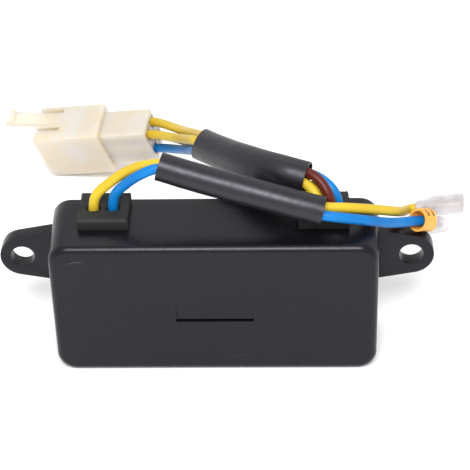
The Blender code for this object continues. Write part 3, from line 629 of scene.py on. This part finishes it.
fieldLeads = makeFieldLeads(leadSettings)
plugLeads = makePlugLeads(leadSettings)
print("leads made:", ", ".join(f"{lead.name} {length / mm:.0f} mm" for lead, length, *_ in fieldLeads + plugLeads))


# Geometry node trees
def geo(tree, kind, mode=None, **sources):
    return addNode(tree, "GeometryNode" + kind, **({"mode": mode} if mode else {}), **sources)


def combine(tree, **axes):
    return addNode(tree, "ShaderNodeCombineXYZ", **axes).outputs[0]


def joined(tree, *sources):
    both = geo(tree, "JoinGeometry")
    for source in sources:
        tree.links.new(source, both.inputs[0])
    return both.outputs[0]


def finishTree(tree, geometry, material, out):
    real = geo(tree, "RealizeInstances", Geometry=geometry)
    painted = geo(tree, "SetMaterial", Geometry=real.outputs[0], Material=material)
    wire(tree, out, Geometry=painted.outputs[0])
    return tree


def runTree(helper, tree, values):
    step = helper.modifiers.new(tree.name, "NODES")
    step.node_group = tree
    for item in tree.interface.items_tree:
        if item.item_type == "SOCKET" and item.in_out == "INPUT" and item.name in values:
            step[item.identifier] = values[item.name]
    mesh = settle(helper)
    work = bmesh.new()
    work.from_mesh(mesh)
    mergeDoubles(work, 0.002)
    bmesh.ops.recalc_face_normals(work, faces=work.faces)
    work.to_mesh(mesh)
    work.free()
    return mesh


def buildSleeveTree():
    # A tube with a real wall along a path, slightly wrinkled and out of round
    tree, given, out = newTree("Geometry", "sleeveOnPath", {
        "Geometry": None, "Outside Radius": 0.0035, "Wall": 0.0005, "Ring Spacing": 0.0006, "Sides": 40,
        "Wrinkle": 0.0001, "Wrinkle Scale": 150.0, "Seed": 1.0, "Material": None}, ("Geometry",))
    path = geo(tree, "ResampleCurve", "LENGTH", Curve=given["Geometry"], Length=given["Ring Spacing"])
    ring = geo(tree, "CurvePrimitiveCircle", Resolution=given["Sides"], Radius=given["Outside Radius"])
    skin = geo(tree, "CurveToMesh", Curve=path.outputs[0], Profile_Curve=ring.outputs[0])
    seeded = addNode(tree, "ShaderNodeTexNoise", noise_dimensions="4D", W=given["Seed"],
                  Scale=given["Wrinkle Scale"], Detail=2.0)
    amount = times(tree, sums(tree, "SUBTRACT", seeded.outputs["Fac"], 0.5), given["Wrinkle"])
    push = addNode(tree, "ShaderNodeVectorMath", operation="SCALE", Scale=amount,
                Vector=geo(tree, "InputNormal").outputs[0])
    moved = geo(tree, "SetPosition", Geometry=skin.outputs[0], Offset=push.outputs["Vector"])
    inner = geo(tree, "ExtrudeMesh", "FACES", Mesh=moved.outputs[0], Offset_Scale=times(tree, given["Wall"], -1.0),
                Individual=False)
    turned = geo(tree, "FlipFaces", Mesh=moved.outputs[0])
    return finishTree(tree, joined(tree, inner.outputs[0], turned.outputs[0]), given["Material"], out)


def buildStrandTree():
    # Bare copper strands, twisted together along X from the origin
    tree, given, out = newTree("Geometry", "twistedStrands", {
        "Geometry": None, "Strands": 16, "Bundle Radius": 0.0008, "Strand Radius": 0.00012, "Length": 0.006,
        "Twist": 2.5, "Seed": 3, "Material": None}, ("Geometry",))
    spots = geo(tree, "Points", Count=given["Strands"])
    index = geo(tree, "InputIndex").outputs[0]
    share = sums(tree, "DIVIDE", sums(tree, "ADD", index, 0.5), given["Strands"])
    radius = times(tree, sums(tree, "SQRT", share), given["Bundle Radius"])
    angle = times(tree, index, 2.39996)  # the golden angle spreads them evenly
    ragged = addNode(tree, "FunctionNodeRandomValue", data_type="FLOAT", Seed=given["Seed"])
    start = combine(tree, X=times(tree, ragged.outputs["Value"], times(tree, given["Length"], 0.08)),
                    Y=times(tree, radius, sums(tree, "COSINE", angle)),
                    Z=times(tree, radius, sums(tree, "SINE", angle)))
    placed = geo(tree, "SetPosition", Geometry=spots.outputs[0], Position=start)
    line = geo(tree, "CurvePrimitiveLine", End=combine(tree, X=given["Length"]))
    fine = geo(tree, "ResampleCurve", "COUNT", Curve=line.outputs[0], Count=14)
    many = geo(tree, "InstanceOnPoints", Points=placed.outputs[0], Instance=fine.outputs[0])
    real = geo(tree, "RealizeInstances", Geometry=many.outputs[0])
    here = geo(tree, "InputPosition").outputs[0]
    split = addNode(tree, "ShaderNodeSeparateXYZ", Vector=here)
    turn = times(tree, sums(tree, "DIVIDE", split.outputs["X"], given["Length"]), given["Twist"])
    spun = addNode(tree, "ShaderNodeVectorRotate", rotation_type="X_AXIS", Vector=here, Angle=turn)
    twisted = geo(tree, "SetPosition", Geometry=real.outputs[0], Position=spun.outputs[0])
    section = geo(tree, "CurvePrimitiveCircle", Resolution=7, Radius=given["Strand Radius"])
    skin = geo(tree, "CurveToMesh", Curve=twisted.outputs[0], Profile_Curve=section.outputs[0], Fill_Caps=True)
    return finishTree(tree, skin.outputs[0], given["Material"], out)


def buildCrumbTree():
    # Scatters small flattened beads over the faces of a mesh and keeps the mesh
    tree, given, out = newTree("Geometry", "scatteredBeads", {
        "Geometry": None, "Density": 1e6, "Smallest": 0.0001, "Largest": 0.0003, "Flatten": 0.5, "Seed": 5,
        "Material": None}, ("Geometry",))
    chosen = addNode(tree, "GeometryNodeInputNamedAttribute", data_type="FLOAT", Name="scatter")
    spots = geo(tree, "DistributePointsOnFaces", Mesh=given["Geometry"], Seed=given["Seed"],
                Density=times(tree, given["Density"], chosen.outputs["Attribute"]))
    bead = geo(tree, "MeshIcoSphere", Radius=1.0, Subdivisions=2)
    size = addNode(tree, "FunctionNodeRandomValue", data_type="FLOAT", Min=given["Smallest"],
                Max=given["Largest"], Seed=given["Seed"]).outputs["Value"]
    many = geo(tree, "InstanceOnPoints", Points=spots.outputs["Points"], Instance=bead.outputs["Mesh"],
               Rotation=spots.outputs["Rotation"],
               Scale=combine(tree, X=size, Y=size, Z=times(tree, size, given["Flatten"])))
    return finishTree(tree, joined(tree, many.outputs[0], given["Geometry"]), given["Material"], out)


def beaded(mesh, beads, seed, material):
    density, smallest, largest, flatten = beads
    return runTree(loose("beadSeed", mesh), scatteredBeads, {
        "Density": density, "Smallest": smallest * mm, "Largest": largest * mm, "Flatten": flatten, "Seed": seed,
        "Material": material})


sleeveOnPath = buildSleeveTree()
twistedStrands = buildStrandTree()
scatteredBeads = buildCrumbTree()


# Sleeves over the leads
sleeveSettings = {"lowerWidth": 7.2, "upperWidth": 8.6, "wall": 0.45, "wrinkle": 0.3, "askew": 12.0, "askewShift": 0.5}


def cutAskew(mesh, route, amount, shift, reach=12.0):
    # The first end is cut back on the side that faces the camera, and drawn out on the other
    line = smoothRoute(inMetres(route), 0.5 * mm)
    viewerSide = Vector((0.04, -0.81, 0.59))
    for vertex in mesh.vertices:
        nearest = min(range(40), key=lambda i: (line[i] - vertex.co).length_squared)
        share = 1 - nearest * 0.5 / reach
        if share > 0:
            along = (line[nearest + 1] - line[nearest]).normalized()
            out = vertex.co - line[nearest]
            out -= along * out.dot(along)
            vertex.co += along * amount * mm * share * (0.5 - shift + 0.5 * out.normalized().dot(viewerSide))


def makeSleeves(s):
    pieces = {}
    for name, node, route, width, seed in (
            ("lowerSleeve", "lower_sleeve", leadSettings["lowerSleeve"], s["lowerWidth"], 2.0),
            ("upperSleeve", "upper_sleeve", leadSettings["upperSleeve"], s["upperWidth"], 7.0)):
        path = loose(name + "Path", lineThrough(name, smoothRoute(inMetres(route), 1.0 * mm)))
        mesh = runTree(path, sleeveOnPath, {
            "Outside Radius": width / 2 * mm, "Wall": s["wall"] * mm, "Wrinkle": s["wrinkle"] * mm,
            "Wrinkle Scale": 140.0, "Seed": seed, "Material": sleeveVinyl})
        if name == "upperSleeve":
            cutAskew(mesh, route, s["askew"], s["askewShift"])
        pieces[name] = placeMesh(name, mesh, sleeveVinyl, 50, node)
    return pieces


sleeves = makeSleeves(sleeveSettings)
print("sleeves made")


# Wire marker: a short open tube, cut a little askew, with printed bars
markerSettings = {"width": 5.7, "wall": 0.55, "sides": 64, "rings": 16, "skew": 1.3, "along": 0.7,
                  "barsAt": 0.9, "barHalf": 0.35, "barTurn": 20, "barSpread": 22}


def makeMarker(s):
    line = [spot + at(s["along"], 0, 0) for spot in smoothRoute(inMetres(leadSettings["marker"]), 0.35 * mm)]
    along = (line[-1] - line[0]).normalized()
    up = (Vector((0, 0, 1)) - along * along.z).normalized()
    side = along.cross(up)
    walls = []
    for radius in (s["width"] / 2, s["width"] / 2 - s["wall"]):
        rings = []
        for number in range(s["rings"] + 1):
            share = number / s["rings"]
            spot = line[round(share * (len(line) - 1))]
            ring = []
            for i in range(s["sides"]):
                turn = 2 * math.pi * i / s["sides"]
                oval = 1 + 0.03 * math.cos(2 * turn + 0.6)
                lean = s["skew"] * math.sin(turn + 0.7) * (0.5 - share) * 0.6
                out = (up * math.cos(turn) + side * math.sin(turn)) * radius * oval
                ring.append(spot + out * mm + along * lean * mm)
            rings.append(ring)
        walls.append(rings)
    mesh = meshFrom(wallLoft(*walls), "wireMarker")
    middle = (line[0] + line[-1]) / 2

    def printed(spot):
        away = spot - middle
        turn = math.degrees(math.atan2(away.dot(side), away.dot(up)))
        reach = abs(away.dot(along) / mm)
        return abs(reach - s["barsAt"]) < s["barHalf"] and abs(turn - s["barTurn"]) < s["barSpread"]

    markPoints(mesh, "ink", printed)
    return placeMesh("wireMarker", mesh, orangeMarker, 50, "wire_marker")


wireMarker = makeMarker(markerSettings)
print("marker made")


# Clear covers, brass receptacles and the crimped strands inside them
def facing(place):
    start, along, face = place[0] * mm, place[1].normalized(), place[2]
    across = face.cross(along).normalized()
    return Matrix.Translation(start) @ Matrix((along, across, along.cross(across))).transposed().to_4x4()


def coverRing(x, width, height, power, sides=48):
    return [at(x, math.copysign(abs(c) ** (2 / power), c) * width / 2,
               math.copysign(abs(n) ** (2 / power), n) * height / 2) for c, n in circle(1.0, sides)]


def drooped(x, bend):
    # Where a point on the cover's middle line goes when its body droops from the end of its neck
    neck, turn = coverSettings["neckLength"], math.radians(bend)
    past = max(0.0, x - neck)
    return shifted(min(x, neck)) @ Matrix.Rotation(-turn if past else -turn / 2, 4, "Z") @ shifted(past)


def makeCover(s, colour):
    neck, width, thick, length = s["neck"], s["width"], s["thickness"], s["length"]
    stations = [
        (0.5, neck - 0.15, neck - 0.15, 2.0), (1.0, neck - 0.05, neck - 0.05, 2.0),
        (2.2, neck - 0.1, neck - 0.1, 2.0), (2.9, neck + 0.1, neck - 0.3, 2.2),
        (3.4, width - 0.9, thick - 0.3, 2.8), (4.1, width - 0.3, thick - 0.05, 3.8),
        (5.4, width - 0.05, thick, 6.0), (length * 0.7, width, thick, 7.5),
        (length * 0.93, width, thick, 7.0), (length, width - 0.15, thick - 0.1, 6.0),
    ]
    walls = [[[drooped(x, s["droop"][colour]) @ Vector((0, spot.y, spot.z))
               for spot in coverRing(x, w - 2 * inset, h - 2 * inset, p)] for x, w, h, p in stations]
             for inset in (0.0, s["wall"])]
    work = wallLoft(*walls)
    work.transform(facing(coverPlaces[colour]))
    helper = loose(colour + "CoverShape", meshFrom(work, colour + "Cover"))
    smoother = helper.modifiers.new("smoother", "SUBSURF")
    smoother.levels = smoother.render_levels = 1
    return placeMesh(colour + "TerminalCover", settle(helper), clearVinyl, 60,
                     colour + "_terminal_cover")


def rolledSection(half, curl, sheet):
    # One strip, flat in the middle, whose edges roll up and over towards each other
    turns = [math.pi * (1.28 * k / 10 - 0.5) for k in range(11)]
    arcs = [[(side * (half - curl / 2 + math.cos(turn) * radius), math.sin(turn) * radius) for turn in turns]
            for side in (1, -1) for radius in (curl / 2, curl / 2 - sheet)]
    return arcs[0] + arcs[1][::-1] + arcs[3] + arcs[2][::-1]


def makeTerminal(s, colour):
    base = s["neckLength"] + 0.3
    section = rolledSection(s["terminalWidth"] / 2, s["curl"], s["sheet"])
    start = base + s["barrel"] - s["sheet"]
    work = ringLoft([[at(start + s["terminalLength"] * share, y * narrow, z * narrow) for y, z in section]
                     for share, narrow in ((0, 0.9), (0.06, 1.0), (0.94, 1.0), (1.0, 0.93))])
    for radius, x0, x1 in ((1.1, base, base + 1.0), (0.95, base + 1.15, base + s["barrel"] + 0.3)):
        dented = [(c * radius * 1.12, n * radius * (1 - 0.3 * max(0.0, n) ** 6)) for c, n in circle(1.0, 24)]
        addTo(work, barrel(dented, x0, x1, 0.1, 0.92, 0.97))
    bend = drooped(s["neckLength"] + 0.01, s["droop"][colour]) @ shifted(-s["neckLength"])
    work.transform(facing(coverPlaces[colour]) @ bend)
    return placeMesh(colour + "Terminal", meshFrom(work, colour + "Terminal"), stampedBrass, 45,
                     colour + "_terminal")


strandSettings = {"count": 19, "bundle": 0.68, "radius": 0.11, "length": 4.4, "twist": 1.6}


def makeStrands(s, colour, seed):
    mesh = runTree(loose("strandSeed", bpy.data.meshes.new("strandSeed")), twistedStrands, {
        "Strands": s["count"], "Bundle Radius": s["bundle"] * mm, "Strand Radius": s["radius"] * mm,
        "Length": s["length"] * mm, "Twist": s["twist"], "Seed": seed, "Material": stampedBrass})
    mesh.transform(facing(coverPlaces[colour]) @ shifted(coverSettings["neckLength"] - 0.6))
    return placeMesh(colour + "Strands", mesh, stampedBrass, 60)


ends = {}
for seed, colour in enumerate(("yellow", "blue"), 3):
    ends[colour] = [makeCover(coverSettings, colour), makeTerminal(coverSettings, colour),
                    makeStrands(strandSettings, colour, seed)]
print("terminals and covers made")


# Case shell, skinned ring by ring from its front face round the rim to its inner floor
def drafted(y):
    # How far a drafted wall stands out at a depth, against the front face
    return (y + caseSettings["depth"] / 2) * math.tan(math.radians(caseSettings["draft"]))


def caseRing(y, inset, perCorner=14):
    # The case's outline at a depth, drawn inside it by the inset
    s, corner, spots = caseSettings, caseSettings["corner"] - inset, []
    x = s["length"] / 2 + drafted(y) - inset - corner
    low, high = inset + corner, s["height"] + drafted(y) - inset - corner
    for turn, (cx, cz) in enumerate(((x, high), (-x, high), (-x, low), (x, low))):
        for step in range(perCorner + 1):
            angle = math.pi / 2 * (turn + step / perCorner)
            spots.append(at(cx + corner * math.cos(angle), y, cz + corner * math.sin(angle)))
    return spots


def makeCaseShell(s):
    front, back = -s["depth"] / 2, s["depth"] / 2
    rings = []
    for step in range(9):
        angle = math.pi / 2 * step / 8
        rings.append(caseRing(front + s["fillet"] * (1 - math.cos(angle)), s["fillet"] * (1 - math.sin(angle))))
    for share in (0.25, 0.5, 0.75):
        rings.append(caseRing(front + s["fillet"] + (s["depth"] - s["fillet"]) * share, 0.0))
    for wall, angles in ((0.0, (0, 30, 60, 90)), (s["sideWall"], (90, 45, 0))):
        for angle in map(math.radians, angles):
            inset = abs(wall - s["rim"] * (1 - math.cos(angle)))
            rings.append(caseRing(back - s["rim"] * (1 - math.sin(angle)), inset))
    inner = front + s["frontWall"]
    for y, extra in ((inner + 6, 0.0), (inner + 0.5, 0.0), (inner, 0.5)):
        rings.append(caseRing(y, s["sideWall"] + extra))
    helper = loose("caseShape", meshFrom(ringLoft(rings), "caseShape"))
    half = s["notchWidth"] / 2
    for side in (-1, 1):
        cut(helper, makeEar(s, side), "UNION")
        middle = side * s["grommetOffset"]
        cut(helper, blockMesh("notch", (middle - half, back - s["notchDepth"], s["height"] - s["corner"]),
                              (middle + half, back + 2, s["height"] * 1.2)))
    length, height, deep = s["recess"]
    grooveHeight, grooveDeep = s["groove"]
    low = s["recessMiddle"] - height / 2
    recess = blockMesh("recess", (-length / 2, front - 1, low), (length / 2, front + deep, low + height))
    for corner in recess.data.vertices:
        if corner.co.y > front * mm and corner.co.z > s["recessMiddle"] * mm:
            corner.co.y = (front + s["recessTop"]) * mm
    cut(helper, recess)
    cut(helper, blockMesh("groove", (-length / 2, front - 1, low - grooveHeight / 2),
                          (length / 2, front + grooveDeep, low + grooveHeight / 2)))
    return placeMesh("caseShell", settle(helper), casePlastic, 32, "case_shell")


def makeEar(s, side):
    middle = s["depth"] / 2 - s["earThickness"] / 2
    root = s["holePitch"] / 2 - s["length"] / 2 - drafted(middle) + s["sideWall"] * 0.6
    half = s["earRoot"] / 2
    lean = math.atan2(half, -root) - math.acos(s["earEnd"] / math.hypot(root, half))
    turns = [-lean + 2 * lean * k / 40 for k in range(41)]
    rounded = [(s["earEnd"] * math.cos(turn), s["earEnd"] * math.sin(turn)) for turn in turns]
    drawing = bpy.data.curves.new("ear", "CURVE")
    drawing.dimensions = "2D"
    drawing.fill_mode = "BOTH"
    drawing.extrude = (s["earThickness"] / 2) * mm
    for shape in ([(-root, -half)] + rounded + [(-root, half)], circle(s["holeRadius"], 48)):
        spline = drawing.splines.new("POLY")
        spline.points.add(len(shape) - 1)
        spline.use_cyclic_u = True
        for point, (x, z) in zip(spline.points, shape):
            point.co = (side * x * mm, z * mm, 0, 1)
    work = bmesh.new()
    work.from_mesh(settle(loose("earOutline", drawing)))
    mergeDoubles(work)
    work.transform(shifted(side * s["holePitch"] / 2, middle, s["holeHeight"]) @ Matrix.Rotation(math.pi / 2, 4, "X"))
    ear = loose("ear", meshFrom(work, "ear"))
    roundEdges(ear, s["earEdge"], 3, 50)
    return ear


caseShell = makeCaseShell(caseSettings)
print("case made:", len(caseShell.data.polygons), "faces")


# Resin poured over the board, climbing the walls a little, with a few bubbles
resinSettings = {"face": 9.35, "front": 7.05, "climb": 0.45, "wave": 0.06, "longest": 1.6,
                 "bubbles": (9000.0, 0.12, 0.42, 0.45)}


def makeResin(s):
    wall = caseSettings["sideWall"]
    rings = [caseRing(s["front"], wall)]
    for inset in (0.0, 0.15, 0.35, 0.7, 1.2, 1.9):
        rings.append(caseRing(s["face"] + s["climb"] * math.exp(-inset / 0.4), wall + inset))
    work = ringLoft(rings, True, False)
    bmesh.ops.triangle_fill(work, edges=[edge for edge in work.edges if edge.is_boundary], use_beauty=True)
    for _ in range(3):
        middle = [edge for edge in work.edges if edge.calc_length() > s["longest"] * mm
                  and min(v.co.y for v in edge.verts) > (s["face"] - 0.01) * mm]
        if middle:
            bmesh.ops.subdivide_edges(work, edges=middle, cuts=1, use_grid_fill=True)
            bmesh.ops.triangulate(work, faces=[f for f in work.faces if len(f.verts) > 4])
    for vertex in work.verts:
        if vertex.co.y > (s["face"] - 0.2) * mm:
            vertex.co.y += noise.noise(vertex.co * 90) * s["wave"] * mm
    mesh = meshFrom(work, "resinPour")
    markPoints(mesh, "scatter", lambda spot: spot.y > (s["face"] - 0.1) * mm)
    placeMesh("resinPour", beaded(mesh, s["bubbles"], 11, pouredResin), pouredResin, 40, "potting_resin")


makeResin(resinSettings)
print("resin poured")


# Grommets: a smooth front half and a rough foamed rear half, slit between them
grommetSettings = {"width": 12.6, "depth": 13.0, "frontRise": 0.35, "rounding": 0.6, "slit": (0.5, 0.8), "gap": 0.3,
                   "grid": 0.3, "ragged": 0.2, "bulge": 0.06, "levels": 5, "crumbs": (1.3e6, 0.07, 0.24, 0.8)}


def makeGrommet(s, side, label, leads):
    c, width, depth = caseSettings, s["width"], s["depth"]
    back, middle, top = c["depth"] / 2, side * c["grommetOffset"], leadSettings["grommetTop"]
    left, front = middle - width / 2, back - depth
    leadHalf = leadSettings["width"] / 2
    slitY = leadSettings["backRow"] - leadHalf - s["slit"][0] / 2
    holes = [(x / mm, y / mm) for *_, (x, y, _) in leads]
    countX, countY = round(width / s["grid"]), round(depth / s["grid"])

    def topHeight(x, y):
        edge = min(x - left, left + width - x, y - front, back - y)
        drop = max(0.0, s["rounding"] - edge)
        z = top - s["rounding"] + math.sqrt(max(0.0, s["rounding"] ** 2 - drop ** 2))
        if y > slitY:
            rough = noise.noise(Vector((x * 1.9, y * 1.9, side * 4))) + 0.6 * noise.noise(Vector((x * 5.5, y * 5.5, 2)))
            z += s["ragged"] * rough - 0.12
        else:
            z += s["frontRise"] + 0.05 * noise.noise(Vector((x * 0.7, y * 0.7, 7))) - 0.1 * max(0.0, 0.8 - (y - front))
        if abs(y - slitY) < s["slit"][0] * 0.6:
            z -= s["slit"][1]
        for hx, hy in holes:
            away = math.hypot(x - hx, y - hy)
            if away < leadHalf + 0.35:
                z -= 1.6
            elif away < leadHalf + 0.8:
                z -= 0.25
        return z

    work = bmesh.new()
    grid = [[(left + width * i / countX, front + depth * j / countY) for i in range(countX + 1)]
            for j in range(countY + 1)]
    upper = [[work.verts.new(at(x, y, topHeight(x, y))) for x, y in row] for row in grid]
    for low, high in zip(upper, upper[1:]):
        for i in range(countX):
            work.faces.new((low[i], low[i + 1], high[i + 1], high[i]))
    border = [(0, i) for i in range(countX)] + [(j, countX) for j in range(countY)]
    border += [(countY, i) for i in range(countX, 0, -1)] + [(j, 0) for j in range(countY, 0, -1)]
    last = [upper[j][i] for j, i in border]
    for level in range(1, s["levels"] + 1):
        ring = []
        for j, i in border:
            x, y = grid[j][i]
            base = c["height"] + drafted(y) + 0.03
            z = base + (upper[j][i].co.z / mm - base) * (1 - level / s["levels"])
            bulge = s["bulge"] * noise.noise(Vector((x * 1.5, y * 1.5, level))) if y > slitY else 0
            outX, outY = (math.copysign(bulge, bulge * v) if abs(v) > size / 2 - 0.01 else 0
                          for v, size in ((x - middle, width), (y - (front + back) / 2, depth)))
            ring.append(work.verts.new(at(x + outX, min(y + outY, back), z)))
        for i in range(len(border)):
            after = (i + 1) % len(border)
            work.faces.new((last[i], ring[i], ring[after], last[after]))
        last = ring
    work.faces.new(last)
    mesh = meshFrom(work, label + "Grommet")

    def foamed(spot):
        x, y, z = spot / mm
        inside = slitY + 0.3 < y < back - 0.4 and z > top - 0.9
        return inside and all(math.hypot(x - hx, y - hy) > 1.9 for hx, hy in holes)

    markPoints(mesh, "scatter", foamed)
    mesh = beaded(mesh, s["crumbs"], 4 + side, grommetRubber)
    half = c["notchWidth"] / 2 - s["gap"]
    neck = blockMesh(label + "Neck", (middle - half, back - c["notchDepth"] + s["gap"], c["height"] - 2.6),
                     (middle + half, back - s["gap"], top - 1.2))
    whole = bmesh.new()
    for part in (mesh, settle(neck)):
        whole.from_mesh(part)
    placeMesh(label + "Grommet", meshFrom(whole, label + "Grommet", False), grommetRubber, 50,
              label + "_grommet")


makeGrommet(grommetSettings, -1, "left", fieldLeads)
makeGrommet(grommetSettings, 1, "right", plugLeads)
print("grommets made")


# Four-way plug in its own frame: X from the mouth to the rear, Y across, Z towards the latch
def plugBlock(name, x0, x1, middle, size, edge=0.0):
    low, high = ([m + sign * v / 2 for m, v in zip(middle, size)] for sign in (-1, 1))
    return blockMesh(name, (x0, *low), (x1, *high), plugPlace, edge)


def makePlug(s):
    length, width, height = s["shroud"]
    centre, wall, (slotLength, slotWidth) = (width / 2, height / 2), s["wall"], s["slot"]
    helper = plugBlock("plugShape", 0, length, centre, (width, height), 0.55)
    cut(helper, plugBlock("rearBody", length - 1, plugRear, centre, s["rear"][1:], 0.5), "UNION")
    cut(helper, makeLatch(s), "UNION")
    cut(helper, plugBlock("mouth", -1, length - s["floor"], centre, (width - 2 * wall, height - 2 * wall), 0.3))
    latchFar = width - wall - slotWidth
    for low in (latchFar, latchFar - s["latch"][1] - 2 * slotWidth):
        cut(helper, plugBlock("slot", -1, slotLength, (low + slotWidth / 2, height - wall + 0.5),
                              (slotWidth, 2 * wall + 1)))
    for way in plugWays:
        cut(helper, plugBlock("way", length / 2, plugRear + 1, way, [s["waySize"]] * 2, 0.25))
    shaped = loose("plugRounded", settle(helper))
    roundEdges(shaped, 0.12, 1, 50)
    return placeMesh("plugHousing", settle(shaped), naturalNylon, 35, "connector_housing")


def makeLatch(s):
    reach, width, thick = s["latch"]
    root, top, barb = s["slot"][0], s["shroud"][2] - 0.3, s["barb"]
    middle = s["shroud"][1] - s["wall"] - s["slot"][1] - width / 2
    side = [(root, top - thick), (root, top), (-reach + 3.2, top), (-reach + 2.7, top + barb),
            (-reach + 2.2, top + barb), (-reach, top - thick * 0.6), (-reach, top - thick)]
    rise = math.tan(math.radians(s["latchRise"]))
    work = ringLoft([[at(x, middle + half, z + (root - x) * rise) for x, z in side]
                     for half in (-width / 2, width / 2)])
    bevelAll(work, 0.18)
    work.transform(plugPlace)
    return loose("latch", meshFrom(work, "latch"))


def makePins(s):
    pins = []
    reach, high, thick = s["pin"]
    tabEnd = s["shroud"][0] - s["floor"] - reach
    crimpStart = plugRear - leadSettings["inPlug"] - 0.3
    for number, (y, z) in enumerate(plugWays, 1):
        work = bmesh.new()
        blade = ringLoft([[at(x, y + a * thick / 2 * across, z + b * high / 2 * up) for a, b in fourCorners]
                          for x, across, up in ((tabEnd, 0.6, 0.805), (tabEnd + 0.9, 1, 1), (crimpStart - 5, 1, 1))])
        bevelAll(blade, 0.08, 1)
        addTo(work, blade)
        for radius, x0, x1 in ((1.2, crimpStart - 5.2, crimpStart - 2.6), (1.25, crimpStart - 2.2, crimpStart)):
            addTo(work, barrel(circle(radius, 20), x0, x1, 0.2, 0.9, 0.93, y, z))
        work.transform(plugPlace)
        pins.append(placeMesh(f"plugPin{number}", meshFrom(work, f"plugPin{number}"), stampedBrass,
                              40, f"connector_pin_{number}"))
    return pins


plugHousing = makePlug(plugSettings)
plugPins = makePins(plugSettings)
print("plug made:", len(plugHousing.data.polygons), "faces")


# Sealed parts inside the case keep their solids and get plain finishes with grain
innerLooks = {
    "circuit_board": ("solderMask", (0.03, 0.2, 0.06), (0.05, 0.28, 0.1), 0.35, 0.01),
    "filter_capacitor": ("canSleeve", (0.02, 0.03, 0.1), (0.03, 0.045, 0.14), 0.35, 0.01),
    "film_capacitor": ("filmBox", (0.5, 0.26, 0.04), (0.6, 0.34, 0.08), 0.35, 0.01),
    "power_resistor": ("ceramicBody", (0.7, 0.69, 0.65), (0.78, 0.77, 0.73), 0.7, 0.03),
    "voltage_trimmer": ("trimmerBody", (0.03, 0.14, 0.45), (0.05, 0.2, 0.55), 0.4, 0.01),
}
sealed = {node: plasticFinish(*look, grainDepth=depth) for node, (*look, depth) in innerLooks.items()}
sealed.update(dict.fromkeys(("bridge_rectifier", "power_transistor", "flyback_diode", "zener_diode"), casePlastic))
for node, material in sealed.items():
    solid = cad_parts[node]
    if not solid.material_slots:
        solid.data.materials.append(material)
    for place in solid.material_slots:
        place.material = material
print("inner parts finished")


# The free leads and what is on them
def declareCord(lead, length, node, leaves, farEnd, others):
    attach(lead, "root")
    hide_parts(node)


declareCord(*fieldLeads[0], "connector", ends["yellow"] + [sleeves["lowerSleeve"]])
declareCord(*fieldLeads[1], "connector", ends["blue"] + [wireMarker])
for number, (row, pin) in enumerate(zip(plugLeads, plugPins)):
    declareCord(*row, "plug", [pin] + ([plugHousing, sleeves["upperSleeve"]] if number == 0 else []))
